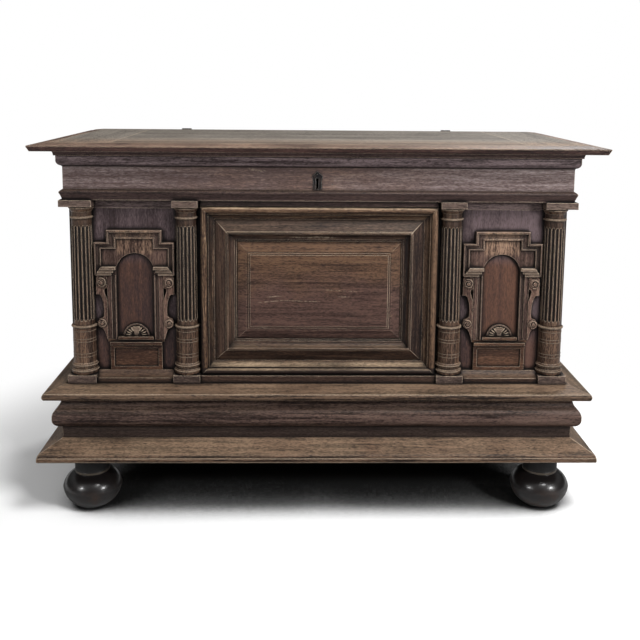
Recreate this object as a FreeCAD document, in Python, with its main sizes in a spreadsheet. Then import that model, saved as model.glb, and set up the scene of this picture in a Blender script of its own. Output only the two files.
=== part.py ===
import FreeCAD, Part
import Sketcher
import os
import re

# A joined oak chest on ball feet: a moulded base, a front of engaged columns, niches and a
# mitred centre panel, a frieze with a lock, and a hinged lid.
# +X is to the right, the front faces -Y, +Z is up. The origin is on the floor, in the middle.
# An inset is a distance behind the front nose of the lid, or inside its side nose.

SIZES = {
    # Lid
    "lid_width": 1450,
    "lid_depth": 655,
    "lid_thickness": 20,
    "lid_edge_width": 45,
    "lid_end_board_width": 150,
    "lid_front_board_width": 170,
    "lid_gap": 0.3,
    "lid_back_gap": 0.4,
    "lid_board_gap": 0.6,
    "dust_projection": 22,
    "dust_height": 13.7,
    "dust_gap": 1,
    "batten_width": 60,
    "batten_thickness": 22,
    "batten_end_gap": 6,
    # Heights of the storeys, from the floor up
    "foot_height": 164,
    "lower_plinth_height": 48,
    "fascia_height": 31,
    "cushion_height": 83,
    "upper_plinth_height": 30,
    "order_height": 485,
    "astragal_height": 29,
    "frieze_height": 58,
    "cornice_height": 28,
    # Insets and projections of the walls and mouldings
    "base_inset": 53,
    "base_board_thickness": 22,
    "lower_plinth_projection": 56,
    "cushion_projection": 22,
    "upper_plinth_projection": 63,
    "frieze_lip": 6,
    "astragal_projection": 9,
    "cornice_projection": 13,
    "ground_setback": 25,
    # Feet
    "foot_radius": 78,
    "foot_inset": 113,
    "foot_back_inset": 80,
    "tenon_radius": 16,
    "tenon_length": 36,
    "tenon_clearance": 0.2,
    "corner_block_width": 120,
    # Joined frame
    "post_width": 60,
    "rail_thickness": 30,
    "bottom_rail_height": 60,
    "front_rail_drop": 24,
    "side_bottom_rail_height": 110,
    "side_rail_drop": 22,
    "back_top_rail_height": 80,
    "back_muntin_width": 70,
    "panel_thickness": 16,
    "tongue_thickness": 8,
    "tongue_length": 8,
    "groove_clearance": 0.2,
    "side_panel_setback": 8,
    "side_panel_bevel": 40,
    "floor_board_thickness": 18,
    "floor_board_count": 6,
    "ledger_height": 16,
    "ledger_width": 20,
    "ledger_drop": 10,
    # Engaged columns
    "corner_column_setback": 33,
    "column_radius": 29.5,
    "column_standoff": 8,
    "capital_projection": 10,
    "abacus_width": 66,
    "abacus_height": 17,
    "abacus_side_reach": 11,
    "column_plinth_lip": 0.5,
    "column_plinth_height": 22,
    "corner_return": 25,
    "flute_radius": 3.9,
    "flute_count": 16,
    # Base moulding of the bays
    "bay_base_projection": 34,
    "bay_base_height": 28,
    "centre_base_height": 20,
    # Centre panel
    "muntin_width": 76,
    "centre_side_gap": 2,
    "centre_top_gap": 16,
    "outer_frame_width": 35,
    "outer_frame_height": 30,
    "inner_frame_width": 58,
    "inner_frame_height": 26,
    "raised_panel_height": 16,
    "raised_panel_lip": 5,
    "raised_panel_bevel": 25,
    "raised_panel_fillet": 10,
    # Niches
    "arch_radius": 49.3,
    "springing_rise": 9,
    "niche_thickness": 9,
    "hood_rise": 32,
    "hood_clearance": 2.5,
    "ear_setback": 32.5,
    "hood_band": 23,
    "hood_proud": 14,
    "hood_bead_proud": 18,
    "shoulder_rise": 28.7,
    "shoulder_reach": 2.2,
    "shoulder_band": 17,
    "impost_gap": 0.2,
    "impost_count": 3,
    "impost_step_height": 7.7,
    "impost_step_shift": 5.8,
    "impost_proud": 21,
    "impost_step_proud": 2.5,
    "niche_head_room": 57.9,
    "jamb_width": 24,
    "jamb_proud": 12,
    "bracket_width": 28,
    "bracket_proud": 12,
    "volute_radius": 13,
    "volute_proud": 17,
    "sill_height": 7,
    "sill_half_width": 46,
    "sill_proud": 14,
    "sill_fascia_height": 7,
    "sill_fascia_proud": 9,
    "shell_radius": 34,
    "shell_thickness": 3,
    "shell_rim_width": 3.5,
    "shell_rim_proud": 7,
    "shell_heart_radius": 9,
    "shell_heart_proud": 5,
    "pedestal_height": 77,
    "pedestal_half_width": 68,
    "pedestal_proud": 10,
    "pedestal_ledge_height": 8,
    "pedestal_ledge_proud": 16,
    "pedestal_border": 10,
    "pedestal_sink": 4,
    # Hinges
    "hinge_setback": 113,
    "knuckle_radius": 7,
    "knuckle_drop": 4,
    "pin_radius": 3,
    "pin_clearance": 0.05,
    "hinge_iron": 2.5,
    "hinge_tab_half_width": 7.5,
    "hinge_side_gap": 0.4,
    "hinge_tongue_width": 7,
    "hinge_plate_height": 72,
    "hinge_plate_gap": 4,
    "strap_length": 180,
    "strap_thickness": 3,
    # Lock
    "lock_shift": 7,
    "lock_half_width": 55,
    "lock_depth": 34,
    "lock_margin": 9,
    "lock_top_gap": 5.7,
    "lock_wall": 4,
    "keyhole_radius": 4.3,
    "keyhole_half_width": 3,
    "keyhole_rise": 27,
    "keyhole_drop": 24,
    "escutcheon_half_width": 14,
    "escutcheon_gap": 9,
    "escutcheon_thickness": 1.5,
    "bolt_length": 50,
    "bolt_width": 8,
    "bolt_height": 12,
    "bolt_drop": 39,
    "bolt_tip": 12,
    "bolt_clearance": 0.4,
    "lock_mouth_half": 8,
    "guide_setback": 5.5,
    "guide_length": 26,
    "guide_margin": 5,
    "staple_offset": 18,
    "staple_iron": 4,
    "staple_leg": 3,
    "staple_room": 1,
    "staple_swing": 7,
    "catch_half_width": 30,
    "catch_margin": 4,
    "catch_thickness": 3,
    # Every cut runs this far past what it cuts
    "cut_overrun": 5,
}

# The widest ring of a column, as a share of its radius.
COLUMN_REACH_SHARE = 1.17

# Lengths that follow from the sizes above, each as a sum in their names.
DERIVED = {
    "hinge_reach": "2 * knuckle_radius",
    "plinth_overhang": "lower_plinth_projection - base_inset",
    "lid_front": "plinth_overhang - (lid_depth + plinth_overhang + hinge_reach) / 2",
    "case_back": "lid_front + lid_depth",
    "lid_back": "case_back - lid_back_gap",
    "half_width": "lid_width / 2",
    "side_inset": "base_inset + base_board_thickness",
    "frieze_inset": "side_inset - frieze_lip",
    "ground_inset": "side_inset + ground_setback",
    "capital_inset": "frieze_inset - capital_projection",
    "post_inner_inset": "side_inset + post_width",
    "rail_back_inset": "ground_inset + rail_thickness",
    "ground": "lid_front + ground_inset",
    "lower_plinth_top": "foot_height + lower_plinth_height",
    "cushion_bottom": "lower_plinth_top + fascia_height",
    "cushion_top": "cushion_bottom + cushion_height",
    "plinth_top": "cushion_top + upper_plinth_height",
    "order_top": "plinth_top + order_height",
    "frieze_bottom": "order_top + astragal_height",
    "cornice_bottom": "frieze_bottom + frieze_height",
    "cornice_top": "cornice_bottom + cornice_height",
    "lid_underside": "cornice_top + lid_gap + dust_height",
    "lid_top": "lid_underside + lid_thickness",
    "case_top": "lid_underside - lid_gap",
    "hinge_half_width": "hinge_tab_half_width + hinge_side_gap + hinge_tongue_width",
    "hinge_offset": "half_width - lid_edge_width - lid_end_board_width - hinge_setback",
    "pivot_y": "case_back + knuckle_radius",
    "pivot_z": "lid_top - knuckle_drop",
    "bottom_rail_top": "cushion_top + bottom_rail_height",
    "front_top_rail_bottom": "order_top - front_rail_drop",
    "floor_underside": "cushion_top + ledger_drop + ledger_height",
    "corner_column_offset": "half_width - side_inset - corner_column_setback",
    "bay_half_width": "shoulder_half_width + hood_clearance + column_radius",
    "column_offset": "corner_column_offset - 2 * bay_half_width",
    "niche_offset": "corner_column_offset - bay_half_width",
    "column_plinth_half": f"column_radius * {COLUMN_REACH_SHARE} + column_plinth_lip",
    "column_bottom": "plinth_top + column_plinth_height",
    "column_height": "order_height - column_plinth_height - abacus_height",
    "centre_muntin_edge": "column_offset + post_width / 2 - muntin_width",
    "centre_half_width": "column_offset - column_plinth_half - centre_side_gap",
    "centre_half_height": "(order_height - centre_base_height - centre_top_gap) / 2",
    "centre_level": "plinth_top + centre_base_height + centre_half_height",
    "bay_base_top": "plinth_top + bay_base_height",
    "pedestal_top": "bay_base_top + pedestal_height",
    "jamb_foot": "pedestal_top + sill_fascia_height",
    "sill_level": "jamb_foot + sill_height",
    "impost_height": "impost_count * impost_step_height",
    "niche_head_height": "impost_height + springing_rise + arch_radius + shoulder_rise + hood_rise",
    "jamb_height": "order_top - niche_head_room - niche_head_height - jamb_foot",
    "impost_level": "jamb_foot + jamb_height",
    "impost_top": "impost_level + impost_height",
    "arch_springing": "impost_level + springing_rise",
    "shoulder_top": "arch_springing + arch_radius + shoulder_rise",
    "hood_top": "shoulder_top + hood_rise",
    "jamb_outer": "arch_radius + jamb_width",
    "shoulder_half_width": "jamb_outer + bracket_width + shoulder_reach",
    "hood_half_width": "shoulder_half_width - ear_setback",
    "keyhole_level": "frieze_bottom + keyhole_rise",
    "lock_front": "lid_front + rail_back_inset",
    "lock_top": "case_top - lock_top_gap",
    "lock_bottom": "keyhole_level - keyhole_drop - lock_margin",
    "bolt_level": "lock_top - bolt_drop",
    "staple_half_depth": "bolt_width / 2 + staple_room + staple_leg",
    "staple_axis": "lock_front + lock_wall + staple_swing + staple_half_depth",
    "staple_bottom": "bolt_level - staple_room - staple_leg",
}

# Moulding profiles as shares: the first number runs out from the wall, the second runs up.
# A spot marked THROUGH is the middle of an arc between its neighbours.
THROUGH = "through"
LOWER_PLINTH_SHARES = [
    (0, 0), (0.96, 0), (1, 0.05), (1, 0.26), (0.97, 0.28),
    (THROUGH, 0.94, 0.42), (0.86, 0.48), (0, 1),
]
CUSHION_SHARES = [
    (0, 0), (0.15, 0), (THROUGH, 0.8, 0.12), (1, 0.335), (THROUGH, 0.9, 0.5), (0.5, 0.63),
    (THROUGH, 0.18, 0.76), (0.06, 0.93), (0.06, 1), (0, 1),
]
UPPER_PLINTH_SHARES = [
    (0, 0), (0.94, 0), (THROUGH, 1, 0.27), (0.955, 0.57), (0.254, 1), (0, 1),
]
ASTRAGAL_SHARES = [
    (0, 0), (0.24, 0), (0.24, 0.08), (THROUGH, 0.5, 0.32), (0.92, 0.62),
    (THROUGH, 1, 0.72), (0.86, 0.82), (0, 1),
]
CORNICE_SHARES = [
    (0, 0), (0.12, 0), (0.12, 0.05), (THROUGH, 0.75, 0.22), (1, 0.58), (1, 1), (0, 1),
]
DUST_SHARES = [(0, 0), (0.78, 0), (THROUGH, 0.84, 0.55), (1, 1), (0, 1)]
LID_EDGE_SHARES = [
    (0, 0), (0.87, 0), (1, 0.6), (THROUGH, 0.99, 0.7), (0.96, 0.74), (0.79, 0.78),
    (0.57, 0.9), (0.04, 1), (0, 1),
]
BAY_BASE_SHARES = [(0, 0), (1, 0), (1, 0.5), (THROUGH, 0.6, 0.63), (0.34, 0.95), (0.3, 1), (0, 1)]
JAMB_SHARES = [
    (0, 0), (0, 0.9), (THROUGH, 0.08, 1), (0.16, 0.9), (0.16, 0.6), (0.5, 0.6),
    (0.5, 0.8), (1, 0.8), (1, 0),
]

# Picture frame profiles: the first number runs from the outer edge to the inner edge,
# the second stands out from the ground.
OUTER_FRAME_SHARES = [
    (0, 0), (0, 0.72), (THROUGH, 0.24, 1), (0.48, 0.8), (0.48, 0.72), (0.6, 0.72),
    (THROUGH, 0.72, 0.42), (1, 0.28), (1, 0),
]
INNER_FRAME_SHARES = [
    (0, 0), (0, 0.3), (0.52, 0.86), (0.55, 0.96), (THROUGH, 0.6, 1), (0.65, 0.93),
    (THROUGH, 0.73, 0.55), (0.92, 0.38), (0.92, 0.3), (1, 0.3), (1, 0),
]

# Turned profiles as shares of the radius and of the height.
FOOT_SHARES = [
    (0, 0), (0.385, 0), (THROUGH, 0.8, 0.122), (1, 0.348), (THROUGH, 0.865, 0.488),
    (0.59, 0.579), (0.565, 0.584), (0.59, 0.593), (0.59, 0.63), (0.57, 0.635), (0.59, 0.64),
    (0.59, 1), (0, 1),
]
COLUMN_SHARES = [
    (0, 0), (1.1, 0), (THROUGH, COLUMN_REACH_SHARE, 0.017), (1.1, 0.034), (1.03, 0.036), (1.03, 0.044),
    (1.09, 0.048), (1.12, 0.056), (1.05, 0.066), (1, 0.07), (1, 0.282), (1.06, 0.285), (1.06, 0.295),
    (0.92, 0.298), (0.88, 0.92), (0.88, 0.926), (0.95, 0.93), (0.95, 0.938), (0.88, 0.942),
    (0.88, 0.968), (THROUGH, 0.98, 0.978), (1.05, 0.995), (1.05, 1), (0, 1),
]
FLUTE_BOTTOM_SHARE = 0.335
FLUTE_TOP_SHARE = 0.88
FLUTE_AXIS_SHARE = 0.912
FLUTE_RUN_SHARE = 1.5

# A scrolled bracket beside a niche, as shares of its width and height from its inner foot.
BRACKET_SHARES = [
    (0, 0), (0.06, 0), (THROUGH, 0.2, 0.1), (0.45, 0.185), (THROUGH, 0.9, 0.25), (0.2, 0.33),
    (THROUGH, 0.32, 0.56), (0.7, 0.7), (1, 0.7), (1, 0.9), (THROUGH, 0.98, 0.97), (0.8, 1), (0, 1),
]
UPPER_VOLUTE_SHARES = (0.52, 0.885)
LOWER_VOLUTE_SHARES = (0.47, 0.25)
LOWER_VOLUTE_SIZE_SHARE = 0.9
ESCUTCHEON_SHARES = [
    (-0.7, 0), (0.7, 0), (0.85, 0.2), (0.75, 0.45), (1, 0.73), (0, 1), (-1, 0.73), (-0.75, 0.45), (-0.85, 0.2),
]
RAISED_SLOPE_SHARE = 0.75
HOOD_BEAD_SHARE = 0.35
FLOOR_BOARD_SHARE = 0.98

NODES = []
doc = FreeCAD.newDocument("chest")


def fill_sheet():
    sheet = doc.addObject("Spreadsheet::Sheet", "Sizes")
    for row, (name, number) in enumerate(SIZES.items(), start=1):
        sheet.set(f"A{row}", name)
        sheet.set(f"B{row}", str(number))
        sheet.setAlias(f"B{row}", name)
    doc.recompute()
    return sheet


def bound(text):
    """Spell a length out in cells of the sheet, opening the derived names up."""
    def swap(match):
        word = match.group()
        if word in DERIVED:
            return "(" + bound(DERIVED[word]) + ")"
        return "Sizes." + word if word in SIZES else word
    return re.sub(r"[a-z_]+", swap, text)


def number(text):
    return float(sheet.evalExpression(bound(text)))


def front_at(inset):
    return f"lid_front + ({inset})"


def side_at(inset):
    return f"half_width - ({inset})"


def node(label, solid):
    """Name a finished sub-part: its label is the name of its file."""
    solid.Label = label
    NODES.append(solid)
    return solid


def board(name, x, y, z):
    """A squared piece between a low and a high place on each axis."""
    solid = doc.addObject("Part::Box", name)
    for low_high, side, axis in ((x, "Length", "x"), (y, "Width", "y"), (z, "Height", "z")):
        solid.setExpression(side, bound(f"({low_high[1]}) - ({low_high[0]})"))
        solid.setExpression(f"Placement.Base.{axis}", bound(low_high[0]))
    return solid


def rod(name, radius, low, high, axis, centre):
    """A round bar along an axis, from a low to a high place on it, through a centre."""
    solid = doc.addObject("Part::Cylinder", name)
    solid.setExpression("Radius", bound(radius))
    solid.setExpression("Height", bound(f"({high}) - ({low})"))
    turn = {"x": FreeCAD.Rotation(0, 90, 0), "y": FreeCAD.Rotation(0, 0, -90), "z": FreeCAD.Rotation()}
    solid.Placement = FreeCAD.Placement(FreeCAD.Vector(), turn[axis])
    places = iter(centre)
    for letter in "xyz":
        solid.setExpression(f"Placement.Base.{letter}", bound(low if letter == axis else next(places)))
    return solid


def fused(name, pieces):
    solid = doc.addObject("Part::MultiFuse", name)
    solid.Shapes = pieces
    return solid


def cut(name, base, tools):
    solid = doc.addObject("Part::Cut", name)
    solid.Base = base
    solid.Tool = tools[0] if len(tools) == 1 else fused(name + "_tools", tools)
    return solid


def group(name, pieces):
    """Several separate solids of one kind, kept as one sub-part."""
    solids = doc.addObject("Part::Compound", name)
    solids.Links = pieces
    return solids


def mirrored(piece, level=None):
    """The same piece on the other side, or above a level where one is given."""
    copy = doc.addObject("Part::Mirroring", piece.Name + "_mirrored")
    copy.Source = piece
    copy.Normal = FreeCAD.Vector(0, 0, 1) if level else FreeCAD.Vector(1, 0, 0)
    if level:
        copy.setExpression("Base.z", bound(level))
    return copy


def both_sides(label, pieces):
    return node(label, group(label, pieces + [mirrored(piece) for piece in pieces]))


def outline(body, plane, name, loops, offset=None):
    """A sketch of closed loops whose corners and arcs are held by the sheet."""
    sketch = body.newObject("Sketcher::SketchObject", name)
    support = [feature for feature in body.Origin.OriginFeatures if feature.Role == plane]
    sketch.AttachmentSupport = [(support[0], "")]
    sketch.MapMode = "FlatFace"
    if offset:
        sketch.setExpression("AttachmentOffset.Base.z", bound(offset))
    rules = []
    held = []

    def hold(geometry, end, spot):
        for kind, text in (("DistanceX", spot[-2]), ("DistanceY", spot[-1])):
            held.append((len(rules), text))
            rules.append(Sketcher.Constraint(kind, -1, 1, geometry, end, number(text)))

    for loop in loops:
        corners = [place for place, spot in enumerate(loop) if spot[0] != THROUGH]
        ends = []
        for here, there in zip(corners, corners[1:] + corners[:1]):
            first, last = (FreeCAD.Vector(number(loop[k][0]), number(loop[k][1])) for k in (here, there))
            between = loop[(here + 1) % len(loop)]
            if between[0] != THROUGH:
                ends.append((sketch.addGeometry(Part.LineSegment(first, last)), 1, 2, here))
                continue
            middle = FreeCAD.Vector(number(between[1]), number(between[2]))
            leftwards = (middle - first).cross(last - middle).z > 0
            arc = Part.Arc(first, middle, last) if leftwards else Part.Arc(last, middle, first)
            geometry = sketch.addGeometry(arc)
            ends.append((geometry, 1, 2, here) if leftwards else (geometry, 2, 1, here))
            point = sketch.addGeometry(Part.Point(middle), True)
            hold(point, 1, between)
            rules.append(Sketcher.Constraint("PointOnObject", point, 1, geometry))
        for (geometry, start, _, place), (before, _, stop, _) in zip(ends, ends[-1:] + ends[:-1]):
            rules.append(Sketcher.Constraint("Coincident", before, stop, geometry, start))
            hold(geometry, start, loop[place])
    sketch.addConstraint(rules)
    for place, text in held:
        sketch.setExpression(f"Constraints[{place}]", bound(text))
    return sketch


def pad(body, sketch, length, back_length=None, symmetric=False):
    feature = body.newObject("PartDesign::Pad", sketch.Name + "_pad")
    feature.Profile = sketch
    feature.SideType = "Two sides" if back_length else "Symmetric" if symmetric else "One side"
    feature.setExpression("Length", bound(length))
    if back_length:
        feature.setExpression("Length2", bound(back_length))
    return feature


def pocket_through(body, sketch):
    feature = body.newObject("PartDesign::Pocket", sketch.Name + "_pocket")
    feature.Profile = sketch
    feature.Type = "ThroughAll"
    feature.SideType = "Symmetric"
    return feature


def new_body(name):
    return doc.addObject("PartDesign::Body", name)


def placed(shares, across, up):
    """Turn a profile of shares into places, with one rule for each direction."""
    loop = []
    for spot in shares:
        place = (across(spot[-2]), up(spot[-1]))
        loop.append((THROUGH,) + place if spot[0] == THROUGH else place)
    return loop


def mirror_loop(loop):
    return [spot[:-2] + (f"-({spot[-2]})", spot[-1]) for spot in reversed(loop)]


def moulding(label, wall, projection, bottom, height, shares, back="case_back"):
    """A moulding planted round the front and both sides, mitred at its corners."""
    def inset(share):
        return f"({wall}) - ({projection}) * {share}"

    def level(share):
        return f"({bottom}) + ({height}) * {share}"

    outer = inset(1)
    x_out, x_in = (f"{side_at(edge)} {sign} cut_overrun" for edge, sign in ((outer, "+"), (wall, "-")))
    y_out, y_in = (f"{front_at(edge)} {sign} cut_overrun" for edge, sign in ((outer, "-"), (wall, "+")))

    front = new_body(label + "_front")
    profile = outline(front, "YZ_Plane", label + "_front_profile",
                      [placed(shares, lambda share: front_at(inset(share)), level)])
    pad(front, profile, f"2 * ({side_at(outer)})", symmetric=True)
    mitre = [(x_out, y_out), (x_out, y_in), (x_in, y_in)]
    pocket_through(front, outline(front, "XY_Plane", label + "_front_mitre", [mitre, mirror_loop(mitre)]))

    side = new_body(label + "_side")
    profile = outline(side, "XZ_Plane", label + "_side_profile",
                      [placed(shares, lambda share: side_at(inset(share)), level)])
    pad(side, profile, f"-({front_at(outer)})", back_length=back)
    mitre = [(x_out, y_out), (x_in, y_in), (x_in, y_out)]
    pocket_through(side, outline(side, "XY_Plane", label + "_side_mitre", [mitre]))
    return node(label, group(label, [front, side, mirrored(side)]))


def picture_frame(label, half_width, half_height, width, proud, shares):
    """Four strips of one profile round a panel, mitred at the corners."""
    def out(share):
        return f"ground - ({proud}) * {share}"

    low = f"centre_level - ({half_height})"
    high = f"centre_level + ({half_height})"
    x_out, x_in = f"{half_width} + cut_overrun", f"{half_width} - ({width}) - cut_overrun"
    corner, inside = f"{low} - cut_overrun", f"{low} + ({width}) + cut_overrun"
    top_corner, top_inside = f"{high} + cut_overrun", f"{high} - ({width}) - cut_overrun"

    rail = new_body(label + "_rail")
    profile = outline(rail, "YZ_Plane", label + "_rail_profile",
                      [[spot[:-2] + (spot[-1], spot[-2]) for spot in
                        placed(shares, lambda share: f"{low} + ({width}) * {share}", out)]])
    pad(rail, profile, f"2 * ({half_width})", symmetric=True)
    mitre = [(x_out, corner), (x_out, inside), (x_in, inside)]
    pocket_through(rail, outline(rail, "XZ_Plane", label + "_rail_mitre", [mitre, mirror_loop(mitre)]))

    stile = new_body(label + "_stile")
    profile = outline(stile, "XY_Plane", label + "_stile_profile",
                      [placed(shares, lambda share: f"{half_width} - ({width}) * {share}", out)],
                      offset="centre_level")
    pad(stile, profile, f"2 * ({half_height})", symmetric=True)
    mitres = [
        [(x_out, corner), (x_in, inside), (x_in, corner)],
        [(x_out, top_corner), (x_in, top_inside), (x_in, top_corner)],
    ]
    pocket_through(stile, outline(stile, "XZ_Plane", label + "_stile_mitre", mitres))
    return node(label, group(label, [rail, mirrored(rail, "centre_level"), stile, mirrored(stile)]))


def turned(body, shares, radius, height):
    """A revolved profile, standing on the floor of its own body."""
    profile = outline(body, "XZ_Plane", body.Name + "_profile",
                      [placed(shares, lambda share: f"({radius}) * {share}",
                              lambda share: f"({height}) * {share}")])
    feature = body.newObject("PartDesign::Revolution", body.Name + "_turned")
    feature.Profile = profile
    feature.ReferenceAxis = (profile, ["V_Axis"])
    feature.Angle = 360
    return feature


def stand(solid, x, y, z):
    """Put a piece that was made about its own axis in its place."""
    for letter, text in zip("xyz", (x, y, z)):
        solid.setExpression(f"Placement.Base.{letter}", bound(text))


def make_feet():
    x = side_at("foot_inset")
    for row, y in (("front", front_at("foot_inset")), ("back", "case_back - foot_back_inset")):
        ball = new_body(f"ball_{row}")
        turned(ball, FOOT_SHARES, "foot_radius", "foot_height")
        stand(ball, x, y, "0")
        tenon = rod(f"tenon_{row}", "tenon_radius", "foot_height", "foot_height + tenon_length", "z", (x, y))
        both_sides(f"{row}_feet", [fused(f"foot_{row}", [ball, tenon])])


def make_base():
    outer, inner = side_at("base_inset"), side_at("side_inset")
    front, front_back = front_at("base_inset"), front_at("side_inset")
    z = ("foot_height", "cushion_top")
    node("base_front_board", board("base_front_board", (f"-({outer})", outer), (front, front_back), z))
    back_inner = "case_back - base_board_thickness"
    node("base_back_board", board("base_back_board", (f"-({inner})", inner), (back_inner, "case_back"), z))
    both_sides("base_side_boards", [board("base_side_board", (inner, outer), (front_back, "case_back"), z)])

    blocks = []
    rows = {
        "front": ((front_back, f"{front_back} + corner_block_width"), front_at("foot_inset")),
        "back": ((f"{back_inner} - corner_block_width", back_inner), "case_back - foot_back_inset"),
    }
    for row, (y, foot_y) in rows.items():
        block = board(f"block_{row}", (f"{inner} - corner_block_width", inner), y, z)
        hole = rod(f"block_{row}_hole", "tenon_radius + tenon_clearance", "foot_height - cut_overrun",
                   "foot_height + tenon_length + tenon_clearance", "z", (side_at("foot_inset"), foot_y))
        blocks.append(cut(f"corner_block_{row}", block, [hole]))
    both_sides("base_corner_blocks", blocks)

    moulding("lower_plinth_moulding", "base_inset", "lower_plinth_projection",
             "foot_height", "lower_plinth_height", LOWER_PLINTH_SHARES)
    moulding("cushion_moulding", "base_inset", "cushion_projection",
             "cushion_bottom", "cushion_height", CUSHION_SHARES)
    moulding("upper_plinth_moulding", "side_inset", "upper_plinth_projection",
             "cushion_top", "upper_plinth_height", UPPER_PLINTH_SHARES)


def flush_panel(name, x, z):
    """A front panel flush with its frame, with a tongue all round its back half."""
    back = "ground + panel_thickness"
    face = board(name + "_face", x, ("ground", back), z)
    tongue = board(name + "_tongue", (f"{x[0]} - tongue_length", f"{x[1]} + tongue_length"),
                   (f"{back} - tongue_thickness", back),
                   (f"{z[0]} - tongue_length", f"{z[1]} + tongue_length"))
    return fused(name, [face, tongue])


def front_groove(name, x, z):
    """The room that a front panel's tongue needs in its frame."""
    reach = "(tongue_length + groove_clearance)"
    back = "ground + panel_thickness"
    return board(name, (f"{x[0]} - {reach}", f"{x[1]} + {reach}"),
                 (f"{back} - tongue_thickness - groove_clearance", f"{back} + groove_clearance"),
                 (f"{z[0]} - {reach}", f"{z[1]} + {reach}"))


def make_front():
    post_edge = side_at("post_inner_inset")
    bay = ("column_offset + post_width / 2", post_edge)
    left_bay = (f"-({bay[1]})", f"-({bay[0]})")
    centre = ("-centre_muntin_edge", "centre_muntin_edge")
    z = ("bottom_rail_top", "front_top_rail_bottom")
    grooves = [front_groove(name, x, z) for name, x in
               (("bay_groove", bay), ("left_bay_groove", left_bay), ("centre_groove", centre))]

    width = (f"-({post_edge})", post_edge)
    y = ("ground", "ground + rail_thickness")
    rail = board("top_rail_stock", width, y, ("front_top_rail_bottom", "case_top"))
    keyhole = keyhole_cut("rail_keyhole", "ground - cut_overrun", "ground + rail_thickness + cut_overrun")
    node("front_top_rail", cut("front_top_rail", rail, grooves + [keyhole]))

    shelf = board("front_shelf", (f"-({side_at('side_inset')})", side_at("side_inset")),
                  (front_at("side_inset"), "ground"), ("cushion_top", "plinth_top"))
    rail = board("bottom_rail_stock", width, y, ("cushion_top", "bottom_rail_top"))
    node("front_bottom_rail", cut("front_bottom_rail", fused("bottom_rail_and_shelf", [rail, shelf]), grooves))

    muntin = board("muntin_stock", ("centre_muntin_edge", bay[0]), y, z)
    both_sides("front_muntins", [cut("muntin", muntin, grooves)])
    both_sides("front_bay_panels", [flush_panel("bay_panel", bay, z)])
    node("centre_back_panel", flush_panel("centre_back_panel", centre, z))
    return grooves


def make_posts_and_sides(front_grooves):
    outer, inner = side_at("side_inset"), side_at("post_inner_inset")
    front_y = ("ground", "ground + post_width")
    back_y = ("case_back - post_width", "case_back")
    side_y = (front_y[1], back_y[0])
    z = ("cushion_top", "case_top")
    bottom_z = ("cushion_top", "cushion_top + side_bottom_rail_height")
    top_z = ("order_top - side_rail_drop", "case_top")
    panel_z = (bottom_z[1], top_z[0])
    panel_out = f"{outer} - side_panel_setback"
    panel_in = f"{panel_out} - panel_thickness"
    reach = "(tongue_length + groove_clearance)"
    groove = board("side_groove",
                   (f"{panel_in} - groove_clearance", f"{panel_in} + tongue_thickness + groove_clearance"),
                   (f"{side_y[0]} - {reach}", f"{side_y[1]} + {reach}"),
                   (f"{panel_z[0]} - {reach}", f"{panel_z[1]} + {reach}"))
    back_grooves = make_back(inner)

    for row, y, grooves in (("front", front_y, front_grooves), ("back", back_y, back_grooves)):
        right = cut(f"post_{row}_right", board(f"post_{row}_stock", (inner, outer), y, z), grooves + [groove])
        node(f"post_{row}_right", right)
        node(f"post_{row}_left", mirrored(right))

    rail_x = (f"{outer} - rail_thickness", outer)
    rails = [cut(f"side_rail_{name}", board(f"side_rail_{name}_stock", rail_x, side_y, span), [groove])
             for name, span in (("bottom", bottom_z), ("top", top_z))]
    both_sides("side_rails", rails)

    tongue = board("side_panel_tongue", (panel_in, f"{panel_in} + tongue_thickness"),
                   (f"{side_y[0]} - tongue_length", f"{side_y[1]} + tongue_length"),
                   (f"{panel_z[0]} - tongue_length", f"{panel_z[1]} + tongue_length"))
    both_sides("side_panels", [fused("side_panel", [tongue, side_field(panel_in, panel_out, side_y, panel_z)])])


def side_field(panel_in, panel_out, y, z):
    """The raised field of a side panel: its bevels rise from the frame to a flat middle."""
    field = doc.addObject("Part::Wedge", "side_field")
    field.Placement = FreeCAD.Placement(FreeCAD.Vector(), FreeCAD.Rotation(-90, 0, 0))
    limits = {
        "Xmin": f"-({y[1]})", "Xmax": f"-({y[0]})", "Zmin": z[0], "Zmax": z[1],
        "Ymin": f"{panel_in} + tongue_thickness", "Ymax": panel_out,
        "X2min": f"-({y[1]}) + side_panel_bevel", "X2max": f"-({y[0]}) - side_panel_bevel",
        "Z2min": f"{z[0]} + side_panel_bevel", "Z2max": f"{z[1]} - side_panel_bevel",
    }
    for limit, text in limits.items():
        field.setExpression(limit, bound(text))
    return field


def make_back(post_edge):
    """Two panels in a frame between the back posts. Returns the room their tongues need."""
    y = ("case_back - rail_thickness", "case_back")
    panel_y = ("case_back - rail_thickness / 2 - tongue_thickness / 2",
               "case_back - rail_thickness / 2 + tongue_thickness / 2")
    x = ("back_muntin_width / 2", post_edge)
    z = ("bottom_rail_top", "case_top - back_top_rail_height")
    reach = "(tongue_length + groove_clearance)"
    groove = board("back_groove", (f"{x[0]} - {reach}", f"{x[1]} + {reach}"),
                   (f"{panel_y[0]} - groove_clearance", f"{panel_y[1]} + groove_clearance"),
                   (f"{z[0]} - {reach}", f"{z[1]} + {reach}"))
    grooves = [groove, mirrored(groove)]
    width = (f"-({post_edge})", post_edge)
    stock = [
        board("back_bottom_rail_stock", width, y, ("cushion_top", z[0])),
        board("back_top_rail_stock", width, y, (z[1], "case_top")),
        board("back_muntin_stock", (f"-({x[0]})", x[0]), y, z),
    ]
    names = ("back_bottom_rail", "back_top_rail", "back_muntin")
    node("back_rails", group("back_rails", [cut(name, piece, grooves) for name, piece in zip(names, stock)]))
    both_sides("back_panels", [board("back_panel", (f"{x[0]} - tongue_length", f"{x[1]} + tongue_length"),
                                     panel_y, (f"{z[0]} - tongue_length", f"{z[1]} + tongue_length"))])
    return grooves


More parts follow.
